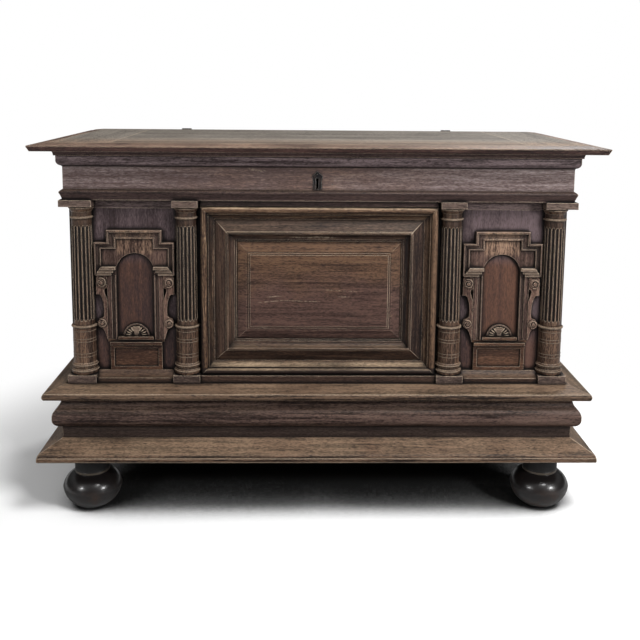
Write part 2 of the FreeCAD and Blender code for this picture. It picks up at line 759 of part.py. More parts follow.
def make_floor():
    edge = side_at("post_inner_inset")
    width = f"(2 * ({edge}) / floor_board_count)"
    front, back = "ground + rail_thickness", "case_back - rail_thickness"
    z = ("floor_underside", "floor_underside + floor_board_thickness")
    boards = []
    for place in range(SIZES["floor_board_count"]):
        low = f"-({edge}) + {width} * {place}"
        boards.append(board(f"floor_board_{place + 1}", (low, f"{low} + {width} * {FLOOR_BOARD_SHARE}"),
                            (front, back), z))
    end = board("floor_end", (edge, f"{side_at('side_inset')} - rail_thickness"),
                ("ground + post_width", "case_back - post_width"), z)
    node("floor_boards", group("floor_boards", boards + [end, mirrored(end)]))
    ledger_z = ("cushion_top + ledger_drop", "floor_underside")
    x = (f"-({edge})", edge)
    ledgers = [
        board("ledger_front", x, (front, f"{front} + ledger_width"), ledger_z),
        board("ledger_back", x, (f"{back} - ledger_width", back), ledger_z),
    ]
    node("floor_ledgers", group("floor_ledgers", ledgers))


def make_frieze():
    outer, inner = side_at("frieze_inset"), side_at("side_inset")
    z = ("order_top", "case_top")
    front = board("frieze_front_stock", (f"-({outer})", outer), (front_at("frieze_inset"), "ground"), z)
    keyhole = keyhole_cut("frieze_keyhole", front_at("frieze_inset - cut_overrun"), "ground + cut_overrun")
    node("frieze_front_board", cut("frieze_front_board", front, [keyhole]))
    both_sides("frieze_side_boards", [board("frieze_side", (inner, outer), ("ground", "case_back"), z)])
    moulding("frieze_astragal", "frieze_inset", "astragal_projection",
             "order_top", "astragal_height", ASTRAGAL_SHARES)
    moulding("cornice_moulding", "frieze_inset", "cornice_projection",
             "cornice_bottom", "cornice_height", CORNICE_SHARES)


def keyhole_cut(name, front, back):
    """The way of the key: a round eye with a slot below it."""
    eye = rod(name + "_eye", "keyhole_radius", front, back, "y", ("-lock_shift", "keyhole_level"))
    slot = board(name + "_slot", ("-lock_shift - keyhole_half_width", "-lock_shift + keyhole_half_width"),
                 (front, back), ("keyhole_level - keyhole_drop", "keyhole_level"))
    return fused(name, [eye, slot])


def make_column(label, x):
    """An engaged column: turned whole, fluted, and split down its back to lie on the ground."""
    shaft = new_body(label + "_body")
    turning = turned(shaft, COLUMN_SHARES, "column_radius", "column_height")
    axis = f"column_radius * {FLUTE_AXIS_SHARE}"
    low = f"column_height * {FLUTE_BOTTOM_SHARE}"
    high = f"column_height * {FLUTE_TOP_SHARE}"
    run_out = f"flute_radius * {FLUTE_RUN_SHARE}"
    flute = [(axis, f"{low} - {run_out}"), (f"{axis} + flute_radius", low),
             (f"{axis} + flute_radius", high), (axis, f"{high} + {run_out}")]
    sketch = outline(shaft, "XZ_Plane", label + "_flute", [flute])
    centre_line = sketch.addGeometry(Part.LineSegment(FreeCAD.Vector(number(axis), number(low)),
                                                      FreeCAD.Vector(number(axis), number(high))), True)
    for end, place in ((1, low), (2, high)):
        for kind, spot in (("DistanceX", axis), ("DistanceY", place)):
            rule = sketch.addConstraint(Sketcher.Constraint(kind, -1, 1, centre_line, end, number(spot)))
            sketch.setExpression(f"Constraints[{rule}]", bound(spot))
    groove = shaft.newObject("PartDesign::Groove", label + "_groove")
    groove.Profile = sketch
    groove.ReferenceAxis = (sketch, ["Axis0"])
    groove.Angle = 360
    pattern = shaft.newObject("PartDesign::PolarPattern", label + "_flutes")
    pattern.Originals = [groove]
    pattern.Axis = (turning.Profile[0], ["V_Axis"])
    pattern.Angle = 360
    pattern.setExpression("Occurrences", bound("flute_count"))
    shaft.Tip = pattern
    wide = "column_radius * 2"
    back = [(f"-{wide}", "column_standoff"), (wide, "column_standoff"), (wide, wide), (f"-{wide}", wide)]
    pocket_through(shaft, outline(shaft, "XY_Plane", label + "_split", [back]))
    stand(shaft, x, "ground - column_standoff", "column_bottom")
    return shaft


def make_columns():
    for name, offset in (("outer", "corner_column_offset"), ("inner", "column_offset")):
        both_sides(f"{name}_columns", [make_column(f"column_{name}", offset)])
    blocks = {
        "column_abaci": ("abacus_width / 2", "order_top - abacus_height", "order_top",
                         "abacus_side_reach + frieze_lip"),
        "column_plinths": ("column_plinth_half", "plinth_top", "column_bottom", "frieze_lip"),
    }
    wall = side_at("side_inset")
    y = (front_at("capital_inset"), "ground")
    for label, (half, low, high, reach) in blocks.items():
        z = (low, high)
        inner = board(label + "_inner", (f"column_offset - {half}", f"column_offset + {half}"), y, z)
        corner = board(label + "_corner", (f"corner_column_offset - {half}", f"{wall} + {reach}"), y, z)
        back = board(label + "_return", (wall, f"{wall} + {reach}"), ("ground", "ground + corner_return"), z)
        both_sides(label, [inner, fused(label + "_outer", [corner, back])])


def make_bay_bases():
    """The moulded sills that run between the column plinths."""
    body = new_body("bay_base")
    loop = placed(BAY_BASE_SHARES, lambda share: f"ground - bay_base_projection * {share}",
                  lambda share: f"plinth_top + bay_base_height * {share}")
    sketch = outline(body, "YZ_Plane", "bay_base_profile", [loop], offset="column_offset + column_plinth_half")
    pad(body, sketch, "2 * (bay_half_width - column_plinth_half)")
    centre = board("centre_base", ("-(column_offset - column_plinth_half)", "column_offset - column_plinth_half"),
                   ("ground - bay_base_projection", "ground"), ("plinth_top", "plinth_top + centre_base_height"))
    node("bay_base_mouldings", group("bay_base_mouldings", [body, mirrored(body), centre]))


def make_centre():
    picture_frame("centre_outer_moulding", "centre_half_width", "centre_half_height",
                  "outer_frame_width", "outer_frame_height", OUTER_FRAME_SHARES)
    picture_frame("centre_inner_moulding", "centre_half_width - outer_frame_width",
                  "centre_half_height - outer_frame_width",
                  "inner_frame_width", "inner_frame_height", INNER_FRAME_SHARES)
    edge_x = "(centre_half_width - outer_frame_width - inner_frame_width)"
    edge_z = "(centre_half_height - outer_frame_width - inner_frame_width)"
    panel = new_body("raised_panel")
    slope_top = f"raised_panel_height * {RAISED_SLOPE_SHARE}"
    steps = (
        ("0", "raised_panel_lip"),
        ("raised_panel_bevel", slope_top),
        ("raised_panel_bevel + raised_panel_fillet / 2", f"(raised_panel_height + {slope_top}) / 2"),
        ("raised_panel_bevel + raised_panel_fillet", "raised_panel_height"),
    )
    for place, (margin, proud) in enumerate(steps):
        sketch = outline(panel, "XZ_Plane", f"raised_panel_{place}",
                         [rectangle(f"{edge_x} - ({margin})", f"{edge_z} - ({margin})")], offset="-(ground)")
        pad(panel, sketch, proud)
    bevel = doc.addObject("Part::Wedge", "raised_panel_slope")
    limits = {
        "Xmin": f"-{edge_x}", "Xmax": edge_x, "Zmin": f"-{edge_z}", "Zmax": edge_z,
        "X2min": f"-{edge_x} + raised_panel_bevel", "X2max": f"{edge_x} - raised_panel_bevel",
        "Z2min": f"-{edge_z} + raised_panel_bevel", "Z2max": f"{edge_z} - raised_panel_bevel",
        "Ymin": "raised_panel_lip", "Ymax": slope_top,
    }
    bevel.Placement = FreeCAD.Placement(FreeCAD.Vector(), FreeCAD.Rotation(0, 0, 180))
    for limit, text in limits.items():
        bevel.setExpression(limit, bound(text))
    stand(bevel, "0", "ground", "centre_level")
    node("centre_raised_panel", fused("centre_raised_panel", [panel, bevel]))


def rectangle(half_width, half_height):
    """A rectangle about the middle of the centre panel."""
    low, high = f"centre_level - ({half_height})", f"centre_level + ({half_height})"
    return [(f"-({half_width})", low), (half_width, low), (half_width, high), (f"-({half_width})", high)]


def carved(name, loops, proud):
    """A flat piece of the right-hand niche, sawn to an outline and laid on the ground."""
    body = new_body(name)
    shifted = [[spot[:-2] + (f"niche_offset + ({spot[-2]})", spot[-1]) for spot in loop] for loop in loops]
    pad(body, outline(body, "XZ_Plane", name + "_outline", shifted, offset="-(ground)"), proud)
    return body


def niche_box(name, x, z, proud):
    return board(name, (f"niche_offset + ({x[0]})", f"niche_offset + ({x[1]})"),
                 (f"ground - ({proud})", "ground"), z)


def hood_path(share, foot):
    """Half of the eared line of the hood, from its foot to its top; a share of 1 is its inner line."""
    side = f"shoulder_half_width - shoulder_band * {share}"
    top = f"shoulder_top - shoulder_band * {share}"
    ear = f"hood_half_width - hood_band * {share}"
    return [(side, foot), (side, top), (ear, top), (ear, f"hood_top - hood_band * {share}")]


def hood_foot(share):
    """The foot of the hood runs up inwards to the top of the imposts."""
    return f"impost_level + (impost_top - impost_level) * {share}"


def make_arches():
    right = hood_path(1, "impost_level")
    arch = [
        ("-arch_radius", "impost_level"), ("-arch_radius", "arch_springing"),
        (THROUGH, "0", "arch_springing + arch_radius"),
        ("arch_radius", "arch_springing"), ("arch_radius", "impost_level"),
    ]
    both_sides("arch_boards", [carved("arch_board", [arch + right + mirror_loop(right)], "niche_thickness")])

    bands = []
    for name, share, proud in (("hood_band", 1, "hood_proud"), ("hood_bead", HOOD_BEAD_SHARE, "hood_bead_proud")):
        outer, inner = hood_path(0, hood_foot(0)), hood_path(share, hood_foot(share))
        loop = outer + mirror_loop(outer) + [(f"-({x})", z) for x, z in inner] + inner[::-1]
        bands.append(carved(name, [loop], proud))
    both_sides("arch_hoods", [fused("arch_hood", bands)])

    both_sides("arch_imposts", [impost(step, side, sign) for side, sign in (("right", ""), ("left", "-"))
                                for step in range(SIZES["impost_count"])])


def impost(step, side, sign):
    """One step of an impost, cut off at its outer end along the foot of the hood."""
    inner = f"arch_radius + impost_step_shift * {step}"
    corners = []
    for share in (1 - step / SIZES["impost_count"], 1 - (step + 1) / SIZES["impost_count"]):
        corners.append((f"shoulder_half_width - shoulder_band * {share} - impost_gap", hood_foot(share)))
    (top_x, top_z), (low_x, low_z) = corners
    loop = [(f"niche_offset + {sign}({x})", z) for x, z in
            ((inner, low_z), (low_x, low_z), (top_x, top_z), (inner, top_z))]
    body = new_body(f"impost_{step + 1}_{side}")
    sketch = outline(body, "XZ_Plane", body.Name + "_outline", [loop], offset="-(ground) + niche_thickness")
    pad(body, sketch, f"impost_proud - impost_step_proud * {step} - niche_thickness")
    return body


def make_jambs():
    strips = []
    for side, sign in (("right", ""), ("left", "-")):
        loop = placed(JAMB_SHARES, lambda share: f"niche_offset + {sign}(arch_radius + jamb_width * {share})",
                      lambda share: f"ground - jamb_proud * {share}")
        strip = new_body(f"jamb_{side}")
        pad(strip, outline(strip, "XY_Plane", f"jamb_{side}_profile", [loop], offset="jamb_foot"),
            "impost_level - jamb_foot")
        strips.append(strip)
    both_sides("niche_pilasters", strips)


def make_brackets():
    brackets = []
    for side, sign in (("right", ""), ("left", "-")):
        def across(share):
            return f"{sign}(jamb_outer + bracket_width * {share})"

        def up(share):
            return f"jamb_foot + jamb_height * {share}"

        name = f"bracket_{side}"
        pieces = [carved(name + "_board", [placed(BRACKET_SHARES, across, up)], "bracket_proud")]
        lower_size = f"volute_radius * {LOWER_VOLUTE_SIZE_SHARE}"
        for volute, (x_share, z_share), size in (("upper", UPPER_VOLUTE_SHARES, "volute_radius"),
                                                 ("lower", LOWER_VOLUTE_SHARES, lower_size)):
            centre = (f"niche_offset + {across(x_share)}", up(z_share))
            pieces.append(rod(f"{name}_{volute}_volute", size, "ground - volute_proud", "ground", "y", centre))
        brackets.append(fused(name, pieces))
    both_sides("scroll_brackets", brackets)


def make_shell():
    """A half-round shell on the sill: a sunk field, a raised rim and a flat heart."""
    centre = ("niche_offset", "sill_level")
    field = rod("shell_field", "shell_radius", "ground - shell_thickness", "ground", "y", centre)
    bore = rod("shell_rim_bore", "shell_radius - shell_rim_width", "ground - shell_rim_proud - cut_overrun",
               "ground + cut_overrun", "y", centre)
    stock = rod("shell_rim_stock", "shell_radius", "ground - shell_rim_proud", "ground", "y", centre)
    rim = cut("shell_rim", stock, [bore])
    heart = rod("shell_heart", "shell_heart_radius", "ground - shell_heart_proud", "ground", "y", centre)
    reach = "(shell_radius + cut_overrun)"
    below = board("shell_below", (f"niche_offset - {reach}", f"niche_offset + {reach}"),
                  (f"ground - {reach}", f"ground + {reach}"), (f"sill_level - {reach}", "sill_level"))
    both_sides("niche_shells", [cut("niche_shell", fused("shell_stock", [field, rim, heart]), [below])])


def make_niche_base():
    sill = niche_box("niche_sill_ledge", ("-sill_half_width", "sill_half_width"),
                     ("jamb_foot", "sill_level"), "sill_proud")
    fascia = niche_box("niche_sill_fascia", ("-jamb_outer", "jamb_outer"),
                       ("pedestal_top", "jamb_foot"), "sill_fascia_proud")
    both_sides("niche_sills", [fused("niche_sill", [sill, fascia])])

    wide = ("-pedestal_half_width", "pedestal_half_width")
    block = niche_box("pedestal_block", wide, ("bay_base_top", "pedestal_top"), "pedestal_proud")
    ledge = niche_box("pedestal_ledge", wide, ("pedestal_top - pedestal_ledge_height", "pedestal_top"),
                      "pedestal_ledge_proud")
    field = board("pedestal_field", ("niche_offset - pedestal_half_width + pedestal_border",
                                     "niche_offset + pedestal_half_width - pedestal_border"),
                  ("ground - pedestal_proud - cut_overrun", "ground - pedestal_proud + pedestal_sink"),
                  ("bay_base_top + pedestal_border",
                   "pedestal_top - pedestal_ledge_height - pedestal_border"))
    both_sides("bay_pedestals", [cut("bay_pedestal", fused("pedestal_stock", [block, ledge]), [field])])


def make_lid():
    edge = side_at("lid_edge_width")
    z = ("lid_underside", "lid_top")
    straps = []
    for side, sign in (("right", ""), ("left", "-")):
        straps.append(board(f"strap_bed_{side}", (f"{sign}hinge_offset - hinge_half_width",
                                                  f"{sign}hinge_offset + hinge_half_width"),
                            ("lid_back - strap_length", "lid_back + cut_overrun"),
                            ("lid_underside - cut_overrun", "lid_underside + strap_thickness")))
    front = front_at("lid_edge_width")
    end_inner = f"{edge} - lid_end_board_width"
    end = board("lid_end_board", (end_inner, edge), (front, "lid_back"), z)
    rail = board("lid_front_board", (f"-({end_inner})", end_inner), (front, f"{front} + lid_front_board_width"), z)
    node("lid_frame_boards", group("lid_frame_boards", [end, mirrored(end), rail]))

    start = f"{front} + lid_front_board_width"
    middle = f"({start} + lid_back) / 2"
    rows = (("fore", start, f"{middle} - lid_board_gap / 2"), ("rear", f"{middle} + lid_board_gap / 2", "lid_back"))
    boards = [cut(f"lid_board_{row}", board(f"lid_board_{row}_stock", (f"-({end_inner})", end_inner), (low, high), z),
                  straps) for row, low, high in rows]
    node("lid_centre_boards", group("lid_centre_boards", boards))

    moulding("lid_edge_moulding", "lid_edge_width", "lid_edge_width", "lid_underside", "lid_thickness",
             LID_EDGE_SHARES, back="lid_back")
    moulding("lid_dust_moulding", "frieze_inset - dust_gap", "dust_projection - dust_gap",
             "cornice_top + lid_gap", "dust_height", DUST_SHARES, back="lid_back")
    batten_x = f"{side_at('post_inner_inset')} - batten_end_gap"
    both_sides("lid_battens", [board("lid_batten", (f"{batten_x} - batten_width", batten_x),
                                     ("ground + rail_thickness + batten_end_gap",
                                      "case_back - rail_thickness - batten_end_gap"),
                                     ("lid_underside - batten_thickness", "lid_underside"))])


def make_hinges():
    """Two iron hinges: a plate on the back of the case, a strap let into the lid, and a pin."""
    left, right = "hinge_offset - hinge_half_width", "hinge_offset + hinge_half_width"
    tab = ("hinge_offset - hinge_tab_half_width", "hinge_offset + hinge_tab_half_width")
    axis = ("pivot_y", "pivot_z")
    bore = rod("hinge_bore", "pin_radius + pin_clearance", f"{left} - cut_overrun", f"{right} + cut_overrun", "x", axis)
    pin = rod("hinge_pin", "pin_radius", left, right, "x", axis)
    both_sides("hinge_pins", [pin])

    iron = ("case_back", "case_back + hinge_iron")
    plate_top = "case_top - hinge_plate_gap"
    plate = board("hinge_plate", (left, right), iron, ("pivot_z - hinge_plate_height", plate_top))
    neck = board("hinge_neck", tab, iron, (plate_top, "pivot_z"))
    knuckle = rod("hinge_case_knuckle", "knuckle_radius", tab[0], tab[1], "x", axis)
    both_sides("hinge_case_plates", [cut("hinge_case_plate", fused("hinge_case_stock", [plate, neck, knuckle]), [bore])])

    pieces = [board("lid_strap", (left, right), ("lid_back - strap_length", "lid_back"),
                    ("lid_underside", "lid_underside + strap_thickness"))]
    for side, span in (("left", (left, f"{left} + hinge_tongue_width")),
                       ("right", (f"{right} - hinge_tongue_width", right))):
        pieces.append(board(f"lid_strap_neck_{side}", span, ("lid_back", "lid_back + hinge_iron"),
                            ("lid_underside", "pivot_z")))
        pieces.append(rod(f"lid_knuckle_{side}", "knuckle_radius", span[0], span[1], "x", axis))
    both_sides("lid_hinge_straps", [cut("lid_hinge_strap", fused("lid_hinge_stock", pieces), [bore])])


def make_lock():
    """A box lock behind the top rail, its sliding bolt, and the staple under the lid."""
    x = ("-lock_shift - lock_half_width", "-lock_shift + lock_half_width")
    y = ("lock_front", "lock_front + lock_depth")
    stock = board("lock_stock", x, y, ("lock_bottom", "lock_top"))
    room = board("lock_room", (f"{x[0]} + lock_wall", f"{x[1]} - lock_wall"),
                 (f"{y[0]} + lock_wall", f"{y[1]} - lock_wall"), ("lock_bottom + lock_wall", "lock_top - lock_wall"))
    staple_x = "-lock_shift + staple_offset"
    mouth = board("lock_mouth", (f"{staple_x} - lock_mouth_half", f"{staple_x} + lock_mouth_half"),
                  (f"{y[0]} + lock_wall", f"{y[1]} - lock_wall"),
                  ("lock_top - lock_wall - cut_overrun", "lock_top + cut_overrun"))
    key_way = keyhole_cut("lock_keyhole", f"{y[0]} - cut_overrun", f"{y[0]} + lock_wall + cut_overrun")
    guide_end = "-lock_shift - guide_setback"
    guide = board("lock_guide", (f"{guide_end} - guide_length", guide_end), y,
                  ("bolt_level - guide_margin", "bolt_level + bolt_height + guide_margin"))
    bolt_y = ("staple_axis - bolt_width / 2", "staple_axis + bolt_width / 2")
    bolt_z = ("bolt_level", "bolt_level + bolt_height")
    channel = board("lock_channel", (f"{guide_end} - guide_length - cut_overrun", f"{guide_end} + cut_overrun"),
                    (f"{bolt_y[0]} - bolt_clearance", f"{bolt_y[1]} + bolt_clearance"),
                    (f"{bolt_z[0]} - bolt_clearance", f"{bolt_z[1]} + bolt_clearance"))
    shell = cut("lock_shell", stock, [room, mouth, key_way])
    node("lock_case", cut("lock_case", fused("lock_shell_and_guide", [shell, guide]), [channel]))

    tip = "-lock_shift + bolt_tip"
    node("lock_bolt", board("lock_bolt", (f"{tip} - bolt_length", tip), bolt_y, bolt_z))

    staple = (f"{staple_x} - staple_iron / 2", f"{staple_x} + staple_iron / 2")
    front, back = "staple_axis - staple_half_depth", "staple_axis + staple_half_depth"
    plate_z = ("lid_underside - catch_thickness", "lid_underside")
    leg_z = ("staple_bottom", plate_z[0])
    pieces = [
        board("catch_plate", (f"{staple_x} - catch_half_width", f"{staple_x} + catch_half_width"),
              (f"{front} - catch_margin", f"{back} + catch_margin"), plate_z),
        board("staple_front_leg", staple, (front, f"{front} + staple_leg"), leg_z),
        board("staple_back_leg", staple, (f"{back} - staple_leg", back), leg_z),
        board("staple_bar", staple, (front, back), ("staple_bottom", "staple_bottom + staple_leg")),
    ]
    node("lid_catch", fused("lid_catch", pieces))

    face = front_at("frieze_inset")
    plate = new_body("escutcheon_plate")
    loop = placed(ESCUTCHEON_SHARES, lambda share: f"-lock_shift + escutcheon_half_width * {share}",
                  lambda share: f"frieze_bottom + (frieze_height - escutcheon_gap) * {share}")
    pad(plate, outline(plate, "XZ_Plane", "escutcheon_outline", [loop], offset=f"-({face})"), "escutcheon_thickness")
    hole = keyhole_cut("escutcheon_keyhole", f"{face} - escutcheon_thickness - cut_overrun", f"{face} + cut_overrun")
    node("escutcheon", cut("escutcheon", plate, [hole]))


def write_parts():
    doc.recompute()
    for thing in doc.Objects:
        if {"Invalid", "Error"} & set(thing.State):
            raise RuntimeError(f"{thing.Name} could not be made: {thing.State}")
    for solid in NODES:
        if solid.Shape.isNull() or not solid.Shape.isValid():
            raise RuntimeError(f"{solid.Label} has no valid shape")
    os.makedirs("parts", exist_ok=True)
    for solid in NODES:
        solid.Shape.exportStep(f"parts/{solid.Label}.step")
    print(len(NODES), "sub-parts written")


sheet = fill_sheet()
make_feet()
make_base()
make_posts_and_sides(make_front())
make_floor()
make_frieze()
make_columns()
make_bay_bases()
make_centre()
make_arches()
make_jambs()
make_brackets()
make_shell()
make_niche_base()
make_lid()
make_hinges()
make_lock()
write_parts()
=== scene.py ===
import math

import bmesh
import bpy
from mathutils import Matrix, Vector


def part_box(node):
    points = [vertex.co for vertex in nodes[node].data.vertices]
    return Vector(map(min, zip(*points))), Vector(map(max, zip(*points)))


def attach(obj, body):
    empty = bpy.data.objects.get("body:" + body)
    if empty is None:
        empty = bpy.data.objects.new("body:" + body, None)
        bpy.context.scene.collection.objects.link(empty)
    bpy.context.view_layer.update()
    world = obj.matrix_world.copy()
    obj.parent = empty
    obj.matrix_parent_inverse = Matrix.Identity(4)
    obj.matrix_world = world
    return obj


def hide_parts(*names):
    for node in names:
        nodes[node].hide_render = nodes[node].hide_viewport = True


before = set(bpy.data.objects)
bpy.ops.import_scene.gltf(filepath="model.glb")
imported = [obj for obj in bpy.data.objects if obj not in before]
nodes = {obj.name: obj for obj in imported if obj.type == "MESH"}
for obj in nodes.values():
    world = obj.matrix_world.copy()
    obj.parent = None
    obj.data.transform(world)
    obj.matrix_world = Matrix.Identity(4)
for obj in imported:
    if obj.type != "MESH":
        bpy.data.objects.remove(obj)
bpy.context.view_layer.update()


# Ball feet
# Four turned oak balls, stained black and waxed to a gloss. Each stands under a corner of the
# base, with a scribed line round its neck and the stain rubbed brown where it meets the floor.
# The neck lies in the shade of the base and is painted near black there: painted shade.

class Reading:
    """A socket of a finish. Sums on it are written as Python and become nodes."""

    def __init__(self, finish, socket):
        self.finish = finish
        self.socket = socket

    def __add__(self, other):
        return self.finish.sum("ADD", self, other)

    def __sub__(self, other):
        return self.finish.sum("SUBTRACT", self, other)

    def __rsub__(self, other):
        return self.finish.sum("SUBTRACT", other, self)

    def __mul__(self, other):
        return self.finish.sum("MULTIPLY", self, other)

    def __truediv__(self, other):
        return self.finish.sum("DIVIDE", self, other)

    def __abs__(self):
        return self.finish.sum("ABSOLUTE", self)

    def __gt__(self, other):
        return self.finish.sum("GREATER_THAN", self, other)

    __radd__ = __add__
    __rmul__ = __mul__

    def most(self, other):
        return self.finish.sum("MAXIMUM", self, other)

    def rise(self, low, high):
        """0 below low, 1 above high, and smooth between them. It falls where low is the higher."""
        return self.finish.add("MapRange", {"interpolation_type": "SMOOTHSTEP"},
                               {"Value": self, "From Min": low, "From Max": high})


class Finish:
    """A material that is put together from nodes, all added by one method."""

    def __init__(self, name):
        self.material = bpy.data.materials.new(name)
        self.material.use_nodes = True
        self.tree = self.material.node_tree
        self.shader = self.tree.nodes["Principled BSDF"]
        self.place = self.add("TexCoord", output="Object")

    @classmethod
    def over(cls, tree):
        finish = cls.__new__(cls)
        finish.tree = tree
        return finish

    def add(self, kind, settings=None, inputs=None, output=0):
        node = self.tree.nodes.new("ShaderNode" + kind)
        for name, value in (settings or {}).items():
            setattr(node, name, value)
        for name, value in (inputs or {}).items():
            self.feed(node.inputs[name], value)
        return Reading(self, node.outputs[output])

    def feed(self, socket, value):
        if isinstance(value, Reading):
            self.tree.links.new(value.socket, socket)
        else:
            socket.default_value = value

    def sum(self, operation, *values):
        return self.add("Math", {"operation": operation}, dict(enumerate(values)))

    def parts(self, vector):
        return [self.add("SeparateXYZ", inputs={0: vector}, output=axis) for axis in "XYZ"]

    def vector(self, operation, first, second, output=0):
        return self.add("VectorMath", {"operation": operation}, {0: first, 1: second}, output)

    def noise(self, vector, scale, detail=3, roughness=0.55, distortion=0):
        return self.add("TexNoise", None, {"Vector": vector, "Scale": scale, "Detail": detail,
                                           "Roughness": roughness, "Distortion": distortion}, "Fac")

    def colour(self, factor, first, second):
        return self.add("Mix", {"data_type": "RGBA"}, {0: factor, 6: first, 7: second}, 2)

    def set(self, **values):
        for name, value in values.items():
            self.feed(self.shader.inputs[name.replace("_", " ").title().replace("Ior", "IOR")], value)
        return self.material


def tint(red, green, blue):
    """A colour as it looks on a screen, 0 to 255, in the linear values that a shader takes."""
    return tuple((value / 255) ** 2.2 for value in (red, green, blue)) + (1,)


def dress(material, *names):
    for name in names:
        slots = nodes[name].data.materials
        slots.clear()
        slots.append(material)


def edges_and_corners(finish, width, reach=0.016):
    """The softened normal of an edge, a mask of the arrises, and one of the corners and hollows, which the
    oak gets as painted shade and the iron as rust.
    """
    soft = finish.add("Bevel", {"samples": 4}, {"Radius": width}, "Normal")
    true = finish.add("NewGeometry", output="True Normal")
    bend = 1 - finish.vector("DOT_PRODUCT", soft, true, "Value")
    open_air = finish.add("AmbientOcclusion", {"samples": 8}, {"Distance": reach}, "AO")
    return soft, bend.rise(0.008, 0.05) * open_air.rise(0.8, 0.96), open_air.rise(0.96, 0.6)


BLACK_STAIN = tint(33, 30, 30)
RUBBED_STAIN = tint(66, 49, 38)
SCRIBED_LINE = tint(112, 99, 82)
PORES_AND_PAINTED_SHADE = tint(13, 9, 8)
RUBBED_HEIGHT = 0.09
SCRIBED_LEVEL, LINE_EDGE, LINE_CORE = 0.1, 0.0036, 0.002
NECK_FOOT, NECK_FULL_SHADE = 0.098, 0.112


def black_stain():
    finish = Finish("black_stained_oak")
    height = finish.parts(finish.place)[2]
    soft, arris, _ = edges_and_corners(finish, 0.003)
    rubbed = finish.noise(finish.place, 28, 5).rise(0.45, 0.72) * height.rise(RUBBED_HEIGHT, 0.0)
    scuffs = finish.noise(finish.place, 60, 6, 0.7).rise(0.55, 0.75)
    base = finish.colour(rubbed * 0.9 + scuffs * 0.35 + arris * 0.4, BLACK_STAIN, RUBBED_STAIN)
    # The neck, in the shade of the base, is painted near black: painted shade.
    neck = height.rise(NECK_FOOT, NECK_FULL_SHADE)
    base = finish.colour(neck * 0.95, base, PORES_AND_PAINTED_SHADE)
    line = abs(height - SCRIBED_LEVEL).rise(LINE_EDGE, LINE_CORE) * scuffs.rise(-0.6, 0.8)
    base = finish.colour(line, base, SCRIBED_LINE)
    turning = finish.noise(finish.vector("MULTIPLY", finish.place, (2, 2, 420)), 1, 2)
    dents = finish.noise(finish.place, 32, 5)
    bump = finish.add("Bump", None, {"Strength": 0.5, "Distance": 0.0012,
                                     "Height": dents + turning * 0.2, "Normal": soft})
    return finish.set(base_color=base, roughness=0.3 + rubbed * 0.3 + scuffs * 0.2 + neck * 0.3,
                      coat_weight=(0.22 - rubbed * 0.22) * (1 - neck), coat_roughness=0.12, normal=bump)


dress(black_stain(), "front_feet", "back_feet")


# Base
# A box of oak boards behind the mouldings, with a block in each corner for the tenon of a foot.
# Three mouldings run round the front and both sides, mitred at the corners: a wide sloping
# plinth at the bottom, an ogee cushion above a flat fascia, and a shelf under the columns.

lid_low, lid_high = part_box("lid_edge_moulding")
GRAIN_STRETCH = 0.045
PALE_ARRIS = tint(204, 184, 160)
STRETCHED = {"x": (GRAIN_STRETCH, 1, 1), "y": (1, GRAIN_STRETCH, 1), "z": (1, 1, GRAIN_STRETCH)}


def round_the_corner(finish):
    """1 on the sides of a mitred moulding, 0 on its front."""
    x, y, _ = finish.parts(finish.place)
    return (y - lid_low.y) > (lid_high.x - abs(x))


